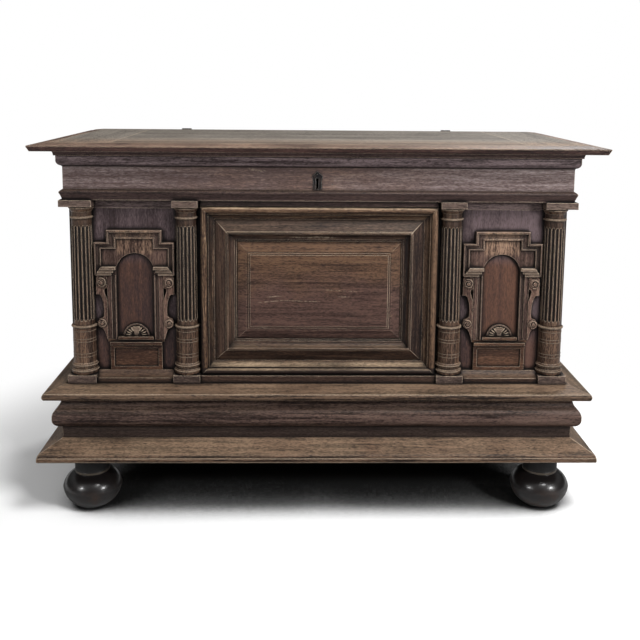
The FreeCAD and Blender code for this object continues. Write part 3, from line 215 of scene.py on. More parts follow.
def aged_oak(name, grain, deep, body, pale_wear_and_top_light, shelf=0.3, arris=0.7, streaks=0.5, polish=0.42, width=0.002,
             reach=0.014, turn=None, shift=0.0, tinge=None, fleck=2.2, joint=None):
    """Old oak. grain is its direction, and where turn is given, a second one for where turn is 1.
    deep and body are its colours, and the third is the paler colour of its figure, of wear and of
    painted light. shelf says how far the faces that look up are painted paler, partly for wear and
    partly as painted light from above, and arris how far the edges are painted pale, partly for wear
    and partly as a painted highlight. streaks says how strong the figure is and fleck the short grain,
    width how wide an edge is softened and painted pale, and reach how wide the painted shade in the
    corners lies. shift moves the figure, so that no two woods match. tinge is a mask and the colour
    where it is 1, and joint a mask of pale joints or scratches."""
    finish = Finish(name)
    along = finish.vector("MULTIPLY", finish.place, STRETCHED[grain[0]])
    if turn:
        across = finish.vector("MULTIPLY", finish.place, STRETCHED[grain[1]])
        along = finish.add("Mix", {"data_type": "VECTOR"}, {0: turn(finish), 4: along, 5: across}, 1)
    along = finish.vector("ADD", along, (shift, shift * 0.37, shift * 0.71))

    soft, edge, corner = edges_and_corners(finish, width, reach)
    flecked = finish.add("Mix", {"data_type": "VECTOR"}, {0: 0.17, 4: along, 5: finish.place}, 1)
    broad = finish.noise(along, 9, 3)
    figure = finish.noise(along, 120, 6, 0.7, 0.4)
    fibre = finish.noise(flecked, 420, 4, 0.75)
    pores = finish.noise(flecked, 560, 2, 0.5).rise(0.57, 0.67)
    patch = finish.noise(finish.place, 7, 5, 0.6)
    up = finish.parts(finish.add("NewGeometry", output="Normal"))[2].rise(0.15, 0.85)

    tone = (figure - 0.5) * streaks * 3.2 + (broad - 0.5) * 1.5 + (fibre - 0.5) * fleck + 0.5
    if tinge:
        where = tinge[0](finish)
        body = finish.colour(where, body, tinge[1])
        pale_wear_and_top_light = finish.colour(where * 0.6, pale_wear_and_top_light, tinge[1])
    base = finish.colour(tone.rise(0.05, 0.95), deep, body)
    # Faces that look up are painted paler, partly for wear and partly as painted light from above.
    top_wear_and_light = up * shelf * patch.rise(0.2, 0.7) * fibre.rise(0.2, 0.65)
    streaky = figure.rise(0.55, 0.76) * fibre.rise(0.4, 0.62) * streaks * 0.7
    light = top_wear_and_light.most(streaky)
    base = finish.colour(light, base, pale_wear_and_top_light)
    # Pores darken with the grain, and corners that the ambient occlusion finds closed in get painted shade.
    dark = (pores * (fleck * 0.27)).most(corner * 0.95)
    base = finish.colour(dark, base, PORES_AND_PAINTED_SHADE)
    # Edges are painted pale, partly for wear and partly as a painted highlight.
    edge = edge * arris * patch.rise(0.1, 0.45) * fibre.rise(0.2, 0.5)
    if joint:
        edge = edge.most(joint(finish) * fibre.rise(0.3, 0.6) * 0.35)
    base = finish.colour(edge, base, PALE_ARRIS)
    height = figure * 0.5 + fibre * 0.3 - pores * 0.4 + patch * 0.8
    bump = finish.add("Bump", None, {"Strength": 0.6, "Distance": 0.0011, "Height": height, "Normal": soft})
    roughness = polish + light * 0.18 + figure * 0.12 + corner * 0.2 - edge * 0.08
    return finish.set(base_color=base, roughness=roughness, specular_ior_level=0.2, normal=bump)


DEEP_OAK = tint(36, 27, 25)
TAN_OAK = tint(142, 122, 103)
PLINTH_DEEP = tint(30, 21, 17)
PLINTH_PALE_WEAR_AND_TOP_LIGHT = tint(158, 134, 110)
FASCIA_BODY = tint(70, 58, 52)

plinth_oak = aged_oak("plinth_oak", "xy", PLINTH_DEEP, tint(102, 81, 66), PLINTH_PALE_WEAR_AND_TOP_LIGHT, shelf=0.45,
                      streaks=1.2, turn=round_the_corner, width=0.003, fleck=2.4)
shelf_oak = aged_oak("shelf_oak", "xy", PLINTH_DEEP, tint(98, 79, 65), PLINTH_PALE_WEAR_AND_TOP_LIGHT, shelf=0.4,
                     streaks=1.2, turn=round_the_corner, width=0.003, shift=3.1, fleck=2.4)
cushion_oak = aged_oak("cushion_oak", "xy", tint(32, 22, 19), tint(92, 74, 67), TAN_OAK, shelf=0.25,
                       streaks=0.9, turn=round_the_corner, polish=0.34, shift=1.7, fleck=2.4)
fascia_oak = aged_oak("fascia_oak", "x", DEEP_OAK, FASCIA_BODY, TAN_OAK, shelf=0.1, shift=5.3)
fascia_side_oak = aged_oak("fascia_side_oak", "y", DEEP_OAK, FASCIA_BODY, TAN_OAK, shelf=0.1, shift=5.9)
dress(plinth_oak, "lower_plinth_moulding")
dress(cushion_oak, "cushion_moulding")
dress(shelf_oak, "upper_plinth_moulding")
dress(fascia_oak, "base_front_board", "base_back_board")
dress(fascia_side_oak, "base_side_boards", "base_corner_blocks")


# Joined frame
# Posts, rails and muntins of riven oak, mortised and pegged, hold the panels of the front, the
# sides and the back. The side panels are raised, the others are flush.

RAIL_BODY = tint(84, 70, 66)
NICHE_OFFSET = 0.4815
RECESS_SIDES = (0.058, 0.044)
RECESS_TOP = (0.71, 0.66)
BAY_FOOT = (0.53, 0.44)
FRONT_HALF = (-0.1, -0.15)

post_oak = aged_oak("post_oak", "z", DEEP_OAK, tint(84, 68, 62), TAN_OAK, shelf=0.1, shift=0.6)
rail_oak = aged_oak("rail_oak", "x", DEEP_OAK, RAIL_BODY, TAN_OAK, shelf=0.25, shift=2.2)
side_rail_oak = aged_oak("side_rail_oak", "y", DEEP_OAK, RAIL_BODY, TAN_OAK, shelf=0.2, shift=2.9)
# A lighter copy of the rail oak, with less painted shade in its corners: painted light to offset the shade
# under the frieze.
top_rail_painted_lighter_oak = aged_oak("top_rail_painted_lighter_oak", "x", tint(52, 42, 41), tint(112, 96, 94), TAN_OAK, arris=0.15,
                        reach=0.005, shift=2.5)


def in_a_niche(finish):
    """1 on the back of the niches, where the panel kept its brown, less at the foot of the bays, 0
    on the rest."""
    x, y, z = finish.parts(finish.place)
    recess = abs(abs(x) - NICHE_OFFSET).rise(*RECESS_SIDES) * z.rise(*RECESS_TOP)
    return recess.most(z.rise(*BAY_FOOT) * 0.8) * y.rise(*FRONT_HALF)


panel_oak = aged_oak("panel_oak", "z", tint(46, 36, 37), tint(98, 84, 86), tint(128, 114, 112), shelf=0.1,
                     streaks=0.3, shift=4.4, tinge=(in_a_niche, tint(92, 65, 52)), fleck=1.4)
side_panel_oak = aged_oak("side_panel_oak", "z", tint(42, 32, 29), tint(94, 79, 73), tint(132, 116, 106),
                          shelf=0.2, streaks=0.6, shift=4.9)
dress(post_oak, "post_front_left", "post_front_right", "post_back_left", "post_back_right", "front_muntins")
dress(rail_oak, "front_bottom_rail", "back_rails")
dress(top_rail_painted_lighter_oak, "front_top_rail")
dress(side_rail_oak, "side_rails")
dress(panel_oak, "front_bay_panels")
dress(side_panel_oak, "side_panels", "centre_back_panel", "back_panels")


def fix(shape, name, material, body="chest", smooth=False):
    """Close the seams of a shape, turn its faces outwards and let it ride on a body."""
    bmesh.ops.remove_doubles(shape, verts=shape.verts, dist=0.00001)
    bmesh.ops.recalc_face_normals(shape, faces=shape.faces)
    mesh = bpy.data.meshes.new(name)
    shape.to_mesh(mesh)
    shape.free()
    if smooth:
        mesh.shade_smooth()
    mesh.materials.append(material)
    piece = bpy.data.objects.new(name, mesh)
    bpy.context.scene.collection.objects.link(piece)
    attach(piece, body)
    return piece


def drive(shape, place, facing, radius, proud, taper=0.85, sides=8):
    """A peg or a nail driven in at a place, with its head outwards."""
    turned = Vector(facing).to_track_quat("Z", "Y").to_matrix().to_4x4()
    bmesh.ops.create_cone(shape, cap_ends=True, segments=sides, radius1=radius, radius2=radius * taper,
                          depth=2 * proud, matrix=Matrix.Translation(place) @ turned)


case_low, case_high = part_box("post_front_left")[0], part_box("post_back_left")[1]
PEG_RADIUS, PEG_PROUD = 0.0045, 0.0009
POST_HALF = 0.03
MUNTIN_PEG = 0.016
SIDE_PEG_LEVELS = (0.384, 0.414, 0.832)
BACK_PEG_LEVELS = (0.343, 0.369, 0.916, 0.950)
BACKWARDS = (0, 1, 0)

pegs = bmesh.new()
for side in (-1, 1):
    for level in SIDE_PEG_LEVELS:
        for along in (case_low.y + POST_HALF, case_high.y - POST_HALF):
            drive(pegs, (-side * case_low.x, along, level), (side, 0, 0), PEG_RADIUS, PEG_PROUD)
    for level in BACK_PEG_LEVELS:
        drive(pegs, (-side * (case_low.x + POST_HALF), case_high.y, level), BACKWARDS, PEG_RADIUS, PEG_PROUD)
    for level in BACK_PEG_LEVELS[1:3]:
        drive(pegs, (side * MUNTIN_PEG, case_high.y, level), BACKWARDS, PEG_RADIUS, PEG_PROUD)
fix(pegs, "frame_pegs", rail_oak)


# Floor
# Six dry boards that lie across the inside on two ledgers, never stained or waxed.

bare_oak = aged_oak("bare_oak", "y", tint(88, 66, 48), tint(136, 108, 82), tint(160, 134, 106), shelf=0.2,
                    polish=0.7, shift=7.7)
dress(bare_oak, "floor_boards", "floor_ledgers")


# Frieze
# A plain board across the front under the lid, with a board on each side, an astragal below it
# and a cornice above it. The keyhole goes through its middle.

GROUND = -0.233
BROWN_MIDDLE = -0.1
FRIEZE_SCRATCHES = (((-0.190, 0.9254), (-0.134, 0.9180)), ((-0.180, 0.9215), (-0.142, 0.9165)))
CORNICE_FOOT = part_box("cornice_moulding")[0].z
SHADE_LINE_TOP, SHADE_LINE_FOOT = 0.0042, 0.003


def browner_middle(finish):
    """1 where the polish on the frieze wore through to the brown of the wood, 0 at its ends."""
    x = finish.parts(finish.place)[0]
    cloud = finish.noise(finish.vector("MULTIPLY", finish.place, (0.4, 1, 1)), 14, 3)
    return abs(x - BROWN_MIDDLE).rise(0.55, 0.1) * cloud.rise(0.3, 0.6)


def scratched(marks, thick=0.0014):
    """Where fine pale scratches run across the front, each from one point (x, z) to another."""
    def mask(finish):
        x, _, z = finish.parts(finish.place)
        found = None
        for (start, low), (end, high) in marks:
            aside = abs(z - low - (x - start) * ((high - low) / (end - start)))
            along = abs(x - (start + end) / 2) / ((end - start) / 2)
            scratch = aside.rise(thick, thick * 0.3) * along.rise(1, 0.6)
            found = found.most(scratch) if found else scratch
        return found * finish.noise(finish.place, 160, 2).rise(0.38, 0.52)
    return mask


def foot_of_the_cornice(finish):
    """1 along the lower edge of the cornice, where a line of painted shade lies, 0 above it."""
    return finish.parts(finish.place)[2].rise(CORNICE_FOOT + SHADE_LINE_TOP, CORNICE_FOOT + SHADE_LINE_FOOT)


frieze_oak = aged_oak("frieze_oak", "x", tint(88, 72, 69), tint(164, 149, 147), tint(194, 182, 176),
                      shelf=0.3, streaks=0.4, shift=8.3, fleck=1.4,
                      tinge=(browner_middle, tint(156, 128, 112)),
                      joint=scratched(FRIEZE_SCRATCHES, 0.0022))
frieze_side_oak = aged_oak("frieze_side_oak", "y", tint(56, 43, 40), tint(116, 98, 92), tint(156, 140, 128),
                           shelf=0.3, streaks=0.5, shift=8.9)
strip_oak = aged_oak("strip_oak", "xy", tint(26, 18, 17), tint(72, 57, 54), TAN_OAK, shelf=0.15, arris=0.9,
                     turn=round_the_corner, shift=9.4)
# The foot of the cornice gets a line of painted shade, for the shade under it.
cornice_oak = aged_oak("cornice_oak", "xy", tint(46, 36, 36), tint(126, 110, 111), tint(164, 148, 142),
                       arris=0.5, streaks=0.7, reach=0.005, turn=round_the_corner, shift=9.9, fleck=1.9,
                       tinge=(foot_of_the_cornice, tint(30, 22, 21)))
dress(frieze_oak, "frieze_front_board")
dress(frieze_side_oak, "frieze_side_boards")
dress(strip_oak, "frieze_astragal")
dress(cornice_oak, "cornice_moulding")

ASTRAGAL_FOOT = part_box("frieze_astragal")[0].z
CENTRE_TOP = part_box("centre_outer_moulding")[1]
FILLET_PROUD, FILLET_ARRIS = 0.024, 0.0015
FRAME_GAP, ASTRAGAL_GAP = 0.0008, 0.0004


def planed_strip(low, high, arris):
    """A planed strip between two corners, with its arrises taken off."""
    strip = bmesh.new()
    place = Matrix.Translation((low + high) / 2) @ Matrix.Diagonal((*(high - low), 1))
    bmesh.ops.create_cube(strip, size=1, matrix=place)
    bmesh.ops.bevel(strip, geom=strip.edges[:], offset=arris, segments=2, profile=0.5, affect="EDGES",
                    material=-1)
    return strip


fillet = planed_strip(Vector((-CENTRE_TOP.x, GROUND - FILLET_PROUD, CENTRE_TOP.z + FRAME_GAP)),
                      Vector((CENTRE_TOP.x, GROUND, ASTRAGAL_FOOT - ASTRAGAL_GAP)), FILLET_ARRIS)
fix(fillet, "frieze_fillet", strip_oak)


# Columns
# Four engaged columns, turned whole, fluted with a gouge and split down the back to be glued to
# the ground. Each stands on a block and carries an abacus under the frieze.

OUTER_COLUMN, INNER_COLUMN = 0.617, 0.346
COLUMN_OFFSETS = (-OUTER_COLUMN, -INNER_COLUMN, INNER_COLUMN, OUTER_COLUMN)
COLUMN_FOOT, COLUMN_HEIGHT, COLUMN_RADIUS = 0.378, 0.446, 0.0295
COLUMN_AXIS = GROUND - 0.008
FLUTE_EDGE, FLUTE_DEEP = 0.0272, 0.0245


def in_a_flute(finish):
    """1 in the hollows of the columns, which are painted darker, 0 on the rest."""
    x, y, _ = finish.parts(finish.place)
    across = abs(abs(x) - (OUTER_COLUMN + INNER_COLUMN) / 2) - (OUTER_COLUMN - INNER_COLUMN) / 2
    deep = y - COLUMN_AXIS
    return finish.sum("SQRT", across * across + deep * deep).rise(FLUTE_EDGE, FLUTE_DEEP)


column_oak = aged_oak("column_oak", "z", tint(36, 26, 22), tint(107, 84, 69), tint(172, 147, 121), shelf=0.4,
                      arris=1.0, streaks=0.55, width=0.0014, reach=0.006, shift=10.2,
                      tinge=(in_a_flute, tint(17, 12, 11)))
block_oak = aged_oak("block_oak", "x", tint(52, 42, 38), tint(104, 88, 80), tint(158, 140, 122), shelf=0.5,
                     arris=0.9, shift=11.1)
dress(column_oak, "outer_columns", "inner_columns")
dress(block_oak, "column_abaci", "column_plinths")

SCRIBED_SHARES = (0.109, 0.128, 0.199, 0.216, 0.262)
SCRIBED_THICKNESS = 0.0009
BEADS = ((0.289, 1.04, 0.0028), (0.057, 1.1, 0.0018), (0.024, 1.14, 0.0022), (0.934, 0.94, 0.0024),
         (0.99, 1.04, 0.0018))
RING_SIDES, RING_STEPS = 8, 24
waxed_line = aged_oak("waxed_line", "z", tint(52, 41, 35), tint(118, 99, 84), tint(160, 138, 118), arris=0.4,
                      width=0.001, reach=0.004, shift=10.9)


def half_ring(shape, centre, height, radius, thickness):
    """A turned bead round a column, as far as the ground that it is glued to."""
    axis = Vector((centre, COLUMN_AXIS, height))
    back = math.asin((GROUND - COLUMN_AXIS - thickness) / radius)
    place = Matrix.Translation(axis) @ Matrix.Rotation(-back, 4, "Z") @ Matrix.Translation((-radius, 0, 0))
    place @= Matrix.Rotation(math.pi / 2, 4, "X")
    rim = bmesh.ops.create_circle(shape, segments=RING_SIDES, radius=thickness, matrix=place)["verts"]
    edges = list({edge for vert in rim for edge in vert.link_edges})
    bmesh.ops.spin(shape, geom=rim + edges, cent=axis, axis=(0, 0, 1), angle=math.pi + 2 * back,
                   steps=RING_STEPS, dvec=(0, 0, 0), use_merge=False)


rings = bmesh.new()
for offset in COLUMN_OFFSETS:
    for share in SCRIBED_SHARES:
        half_ring(rings, offset, COLUMN_FOOT + COLUMN_HEIGHT * share, COLUMN_RADIUS, SCRIBED_THICKNESS)
    for share, reach, thickness in BEADS:
        half_ring(rings, offset, COLUMN_FOOT + COLUMN_HEIGHT * share, COLUMN_RADIUS * reach, thickness)
bmesh.ops.holes_fill(rings, edges=rings.edges, sides=RING_SIDES)
fix(rings, "column_rings", waxed_line, smooth=True)


# Bay mouldings
# Sloping mouldings between the column blocks, at the foot of the two bays and of the centre.

bay_oak = aged_oak("bay_oak", "x", tint(36, 25, 21), tint(80, 62, 52), tint(140, 118, 98), shelf=0.35,
                   arris=0.8, shift=12.5)
dress(bay_oak, "bay_base_mouldings")


# Centre panel
# A fielded panel in two mitred frames of moulding, planted on the ground one inside the other.

frame_low, frame_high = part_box("centre_outer_moulding")
frame_middle = (frame_low.z + frame_high.z) / 2
BEAD_TOP, BEAD_DARK = 0.022, 0.017
SPLINTERS = (((-0.085, 0.7435), (0.052, 0.7425)), ((-0.02, 0.7455), (0.045, 0.7420)))
PANEL_SCRATCHES = (((0.004, 0.6048), (0.109, 0.5996)), ((-0.101, 0.5755), (0.009, 0.5723)),
                   ((-0.163, 0.5692), (-0.089, 0.5760)), ((-0.140, 0.5840), (-0.094, 0.5880)),
                   ((0.047, 0.5856), (0.088, 0.5856)), ((-0.166, 0.5006), (-0.124, 0.4965)),
                   ((-0.160, 0.5040), (-0.132, 0.4990)))


def on_a_stile(finish):
    """1 on the uprights of the mitred frames, 0 on their rails."""
    x, _, z = finish.parts(finish.place)
    return (frame_high.z - frame_middle - abs(z - frame_middle)) > (frame_high.x - abs(x))


def foot_bead(finish):
    """1 on the bead at the foot of the outer frame, which is painted darker, 0 above it."""
    return finish.parts(finish.place)[2].rise(frame_low.z + BEAD_TOP, frame_low.z + BEAD_DARK)


outer_frame_oak = aged_oak("outer_frame_oak", "xz", tint(36, 25, 21), tint(104, 81, 64), tint(232, 200, 164),
                           shelf=1.0, arris=1.0, streaks=0.85, reach=0.03, turn=on_a_stile, shift=13.6,
                           tinge=(foot_bead, tint(30, 21, 18)))
inner_frame_oak = aged_oak("inner_frame_oak", "xz", tint(30, 20, 17), tint(78, 60, 50), tint(152, 130, 106),
                           shelf=0.35, arris=1.0, streaks=0.95, reach=0.03, turn=on_a_stile, shift=14.9,
                           joint=scratched(SPLINTERS, 0.003))


def browner_above(finish):
    """1 towards the top of the panel, where it is browner, 0 at its foot."""
    waver = (finish.noise(finish.place, 12, 3) - 0.5) * 0.2
    return (finish.parts(finish.place)[2] + waver).rise(0.57, 0.68)


fielded_oak = aged_oak("fielded_oak", "x", tint(38, 26, 23), tint(86, 65, 58), tint(150, 128, 106), shelf=0.4,
                       arris=0.9, streaks=0.65, shift=15.2, tinge=(browner_above, tint(99, 75, 58)),
                       joint=scratched(PANEL_SCRATCHES))
dress(outer_frame_oak, "centre_outer_moulding")
dress(inner_frame_oak, "centre_inner_moulding")
dress(fielded_oak, "centre_raised_panel")


# Niches
# In each bay an arched niche under an eared hood, with stepped imposts, jamb strips, scrolled
# brackets, a shell on the sill and a panelled pedestal, all sawn, carved and planted.

NICHE_OFFSETS = (-NICHE_OFFSET, NICHE_OFFSET)
SPANDREL_SIDES = (0.052, 0.04)
SPANDREL_FOOT = (0.69, 0.705)


def rubbed_spandrel(finish):
    """1 on the flat above each arch, where the wood is rubbed lighter, 0 on the rest."""
    x, _, z = finish.parts(finish.place)
    return abs(abs(x) - NICHE_OFFSET).rise(*SPANDREL_SIDES) * z.rise(*SPANDREL_FOOT)


niche_oak = aged_oak("niche_oak", "z", tint(44, 31, 27), tint(96, 76, 68), tint(146, 124, 106), shelf=0.4,
                     arris=0.55, streaks=0.6, shift=16.4, tinge=(rubbed_spandrel, tint(146, 118, 99)))
bracket_oak = aged_oak("bracket_oak", "z", tint(48, 34, 29), tint(114, 90, 79), tint(162, 138, 118),
                       shelf=0.5, arris=0.7, streaks=0.6, width=0.0014, reach=0.008, shift=16.9)
impost_oak = aged_oak("impost_oak", "x", tint(62, 50, 43), tint(120, 103, 90), tint(172, 154, 134), shelf=0.6,
                      arris=1.0, shift=17.8)
pedestal_oak = aged_oak("pedestal_oak", "x", tint(46, 31, 25), tint(98, 71, 55), tint(144, 118, 92),
                        shelf=0.4, arris=0.55, shift=18.3)
dress(niche_oak, "arch_boards", "arch_hoods", "niche_pilasters", "scroll_brackets", "niche_shells")
dress(impost_oak, "arch_imposts")
dress(pedestal_oak, "niche_sills", "bay_pedestals")

SILL_LEVEL = 0.475
IMPOST_LEVEL, IMPOST_TOP = 0.641, 0.6641
SHOULDER_TOP, HOOD_TOP = 0.728, 0.760
SHOULDER_REACH, HOOD_REACH = 0.1035, 0.071
SHOULDER_BAND, HOOD_BAND = 0.017, 0.023
HOOD_PROFILE = ((0, 0), (0, 0.017), (0.03, 0.018), (0.2, 0.018), (0.24, 0.0172), (0.26, 0.0145),
                (0.34, 0.0122), (0.5, 0.0108), (0.66, 0.0108), (0.78, 0.0122), (0.8, 0.0138),
                (0.83, 0.0146), (0.95, 0.0146), (1, 0.0134), (1, 0))


def hood_line(middle, share, proud):
    """The eared line of the hood, a share of the way across its band."""
    foot = IMPOST_LEVEL + (IMPOST_TOP - IMPOST_LEVEL) * share
    side, ear = SHOULDER_REACH - SHOULDER_BAND * share, HOOD_REACH - HOOD_BAND * share
    shoulder, top = SHOULDER_TOP - SHOULDER_BAND * share, HOOD_TOP - HOOD_BAND * share
    half = [(side, foot), (side, shoulder), (ear, shoulder), (ear, top)]
    return [Vector((middle + x, GROUND - proud, z)) for x, z in half + [(-x, z) for x, z in half[::-1]]]


def mitred(shape, lines):
    """A moulding whose profile runs along lines that turn their corners together, closed at its ends."""
    rows = []
    for line in lines:
        spots = [shape.verts.new(spot) for spot in line]
        rows.append([shape.edges.new(pair) for pair in zip(spots, spots[1:])])
    for row, following in zip(rows, rows[1:] + rows[:1]):
        bmesh.ops.bridge_loops(shape, edges=row + following)
    bmesh.ops.holes_fill(shape, edges=shape.edges, sides=0)


hoods = bmesh.new()
for middle in NICHE_OFFSETS:
    mitred(hoods, [hood_line(middle, share, proud) for share, proud in HOOD_PROFILE])
hood = fix(hoods, "carved_hoods", niche_oak)
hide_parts("arch_hoods")

BRACKET_FOOT, BRACKET_HEIGHT = 0.468, 0.173
BRACKET_INNER, BRACKET_WIDTH, BRACKET_PROUD = 0.0733, 0.028, 0.0115
BRACKET_LINE = ((0, 0), (0.06, 0), (0.16, 0.05), (0.27, 0.12), (0.45, 0.165), (0.74, 0.185), (0.88, 0.22),
                (0.9, 0.26), (0.8, 0.31), (0.5, 0.33), (0.32, 0.36), (0.3, 0.46), (0.36, 0.57), (0.52, 0.66),
                (0.7, 0.7), (1, 0.7), (1, 0.9), (0.97, 0.96), (0.8, 1), (0, 1), (0, 0.8), (0.24, 0.79),
                (0.3, 0.75), (0.06, 0.63), (0, 0.62))
VOLUTES = ((0.52, 0.885, 0.0134), (0.5, 0.25, 0.0118))
VOLUTE_PROUD, EYE_PROUD, EYE_SHARE, VOLUTE_SIDES = 0.0135, 0.0175, 0.3, 24
RIDGE_RADIUS, RIDGE_SIDES, RIDGE_REACH_SHARE = 0.0021, 8, 0.93
SPIRAL_STEPS, SPIRAL_CLOSING_SHARE = 34, 0.0215
SPIRAL_START, SPIRAL_TURN = math.radians(115), math.radians(18)


def spiral(shape, centre, radius, turn):
    """A volute cut as a round ridge that winds in to its eye."""
    rim = bmesh.ops.create_circle(shape, segments=RIDGE_SIDES, radius=RIDGE_RADIUS)["verts"]
    for spot in rim:
        spot.co = Vector((centre.x, GROUND - VOLUTE_PROUD, centre.z)) + Vector((spot.co.x, spot.co.y, 0))
    bmesh.ops.translate(shape, verts=rim, vec=(radius, 0, 0))
    bmesh.ops.rotate(shape, verts=rim, cent=(centre.x, 0, centre.z),
                     matrix=Matrix.Rotation(SPIRAL_START * turn, 3, "Y"))
    edges = list({edge for vert in rim for edge in vert.link_edges})
    for _ in range(SPIRAL_STEPS):
        made = bmesh.ops.extrude_edge_only(shape, edges=edges)["geom"]
        edges = [part for part in made if isinstance(part, bmesh.types.BMEdge)]
        rim = [part for part in made if isinstance(part, bmesh.types.BMVert)]
        bmesh.ops.rotate(shape, verts=rim, cent=(centre.x, 0, centre.z),
                         matrix=Matrix.Rotation(-turn * SPIRAL_TURN, 3, "Y"))
        middle = sum((spot.co for spot in rim), Vector()) / len(rim)
        inwards = (Vector((centre.x, middle.y, centre.z)) - middle).normalized()
        bmesh.ops.translate(shape, verts=rim, vec=inwards * radius * SPIRAL_CLOSING_SHARE)


def raise_outline(shape, outline, proud):
    """A flat piece sawn to an outline, which stands proud of where the outline lies."""
    face = shape.faces.new([shape.verts.new(spot) for spot in outline])
    raised = bmesh.ops.extrude_face_region(shape, geom=[face])["geom"]
    front = [part for part in raised if isinstance(part, bmesh.types.BMVert)]
    bmesh.ops.translate(shape, verts=front, vec=(0, -proud, 0))


def bracket_spot(middle, side, across, up):
    """A point on the ground, as shares of the width and the height of a bracket."""
    return Vector((middle + side * (BRACKET_INNER + BRACKET_WIDTH * across), GROUND,
                   BRACKET_FOOT + BRACKET_HEIGHT * up))


carving = bmesh.new()
for middle in NICHE_OFFSETS:
    for side in (-1, 1):
        outline = [bracket_spot(middle, side, across, up) for across, up in BRACKET_LINE]
        raise_outline(carving, outline, BRACKET_PROUD)
        for across, up, radius in VOLUTES:
            centre = bracket_spot(middle, side, across, up)
            for size, proud in ((radius, VOLUTE_PROUD), (radius * EYE_SHARE, EYE_PROUD)):
                place = Matrix.Translation((centre.x, GROUND - proud / 2, centre.z))
                place @= Matrix.Rotation(math.pi / 2, 4, "X")
                bmesh.ops.create_cone(carving, cap_ends=True, segments=VOLUTE_SIDES, radius1=size,
                                      radius2=size, depth=proud, matrix=place)
            spiral(carving, centre, radius * RIDGE_REACH_SHARE, side)
bracket = fix(carving, "carved_brackets", bracket_oak)
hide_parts("scroll_brackets")

RIB_ANGLES = (7, 24, 41, 58, 122, 139, 156, 173)
RIB_REACH, RIB_PROUD, RIB_RISE = 0.0215, 0.0035, 0.001
RIB_SIZE = (0.0088, 0.0038, 0.0024)
HEART_SEAT, HEART_THICKNESS = 0.003, 0.0034
HEART_LINE = ((-0.0035, 0.0005), (0.0035, 0.0005), (0.007, 0.014), (0.0115, 0.024), (0.0045, 0.027),
              (0, 0.0255), (-0.0045, 0.027), (-0.0115, 0.024), (-0.007, 0.014))

shell = bmesh.new()
for middle in NICHE_OFFSETS:
    for angle in map(math.radians, RIB_ANGLES):
        out = Vector((math.cos(angle), 0, math.sin(angle))) * RIB_REACH
        place = (Matrix.Translation(Vector((middle, GROUND - RIB_PROUD, SILL_LEVEL + RIB_RISE)) + out)
                 @ Matrix.Rotation(-angle, 4, "Y") @ Matrix.Diagonal((*RIB_SIZE, 1)))
        bmesh.ops.create_uvsphere(shell, u_segments=12, v_segments=8, radius=1, matrix=place)
    heart = [(middle + x, GROUND - HEART_SEAT, SILL_LEVEL + z) for x, z in HEART_LINE]
    raise_outline(shell, heart, HEART_THICKNESS)
fix(shell, "shell_ribs", impost_oak)


# Lid
# Boards along the middle, one along the front and one across each end, with a thumb-moulded
# edge, a dust moulding that laps over the case, and two battens inside.

LID_END_JOINT = 0.53
LID_EDGE_WIDTH, LID_FRONT_BOARD = 0.045, 0.17
LID_EDGE_JOINT = lid_low.y + LID_EDGE_WIDTH
LID_FRONT_JOINT = LID_EDGE_JOINT + LID_FRONT_BOARD
END_LINE = (0.0035, 0.001)
FRONT_LINE = (0.012, 0.002)
HANDLED_REACH = 0.03


def on_an_end_board(finish):
    """1 on the boards across the ends of the lid, 0 on the long ones."""
    return abs(finish.parts(finish.place)[0]) > LID_END_JOINT


def rubbed_joint(finish):
    """The joints of the end boards, of the front board and of the edge moulding, rubbed pale."""
    x, y, _ = finish.parts(finish.place)
    ends = abs(abs(x) - LID_END_JOINT).rise(*END_LINE)
    front = abs(y - LID_FRONT_JOINT).rise(*FRONT_LINE) * abs(x).rise(LID_END_JOINT + 0.001, LID_END_JOINT)
    return ends.most(front * 0.7).most(abs(y - LID_EDGE_JOINT).rise(*FRONT_LINE))


def handled_front(finish):
    """1 along the front of the lid, where hands rubbed it brown, 0 on the rest."""
    return finish.parts(finish.place)[1].rise(LID_FRONT_JOINT + HANDLED_REACH, LID_EDGE_JOINT + HANDLED_REACH)


lid_oak = aged_oak("lid_oak", "xy", tint(60, 54, 49), tint(128, 120, 110), tint(166, 158, 148), shelf=0.3,
                   streaks=0.6, polish=0.6, turn=on_an_end_board, shift=19.7,
                   tinge=(handled_front, tint(142, 120, 102)), joint=rubbed_joint)
lid_edge_oak = aged_oak("lid_edge_oak", "xy", tint(34, 22, 21), tint(82, 61, 56), tint(160, 134, 114),
                        shelf=0.75, arris=0.9, streaks=0.6, polish=0.38, turn=round_the_corner, shift=20.5)
dust_oak = aged_oak("dust_oak", "xy", tint(36, 25, 24), tint(96, 76, 72), TAN_OAK, reach=0.006,
                    turn=round_the_corner, shift=21.1)
dress(lid_oak, "lid_frame_boards", "lid_centre_boards")
dress(lid_edge_oak, "lid_edge_moulding")
dress(dust_oak, "lid_dust_moulding")
dress(side_rail_oak, "lid_battens")


# Hinges and lock
# Smith's work in iron: hinge plates, straps and pins, a box lock with its bolt and staple, and
# the pierced plate round the keyhole. Nails hold the plates and straps, pins the plate in front.

IRON = tint(46, 45, 46)
RUST = tint(62, 46, 38)
BRIGHT_IRON = tint(168, 164, 160)


def wrought_iron():
    finish = Finish("wrought_iron")
    soft, edge, corner = edges_and_corners(finish, 0.0015)
    rust = finish.noise(finish.place, 60, 6, 0.7).rise(0.45, 0.7)
    hammered = finish.noise(finish.place, 90, 2)
    base = finish.colour((rust * 0.7).most(corner), IRON, RUST)
    base = finish.colour(edge * rust.rise(0.9, 0.3), base, BRIGHT_IRON)
    bump = finish.add("Bump", None, {"Strength": 0.6, "Distance": 0.001,
                                     "Height": hammered + rust * 0.3, "Normal": soft})
    return finish.set(base_color=base, metallic=0.9 - rust * 0.5, roughness=0.42 + rust * 0.25, normal=bump)


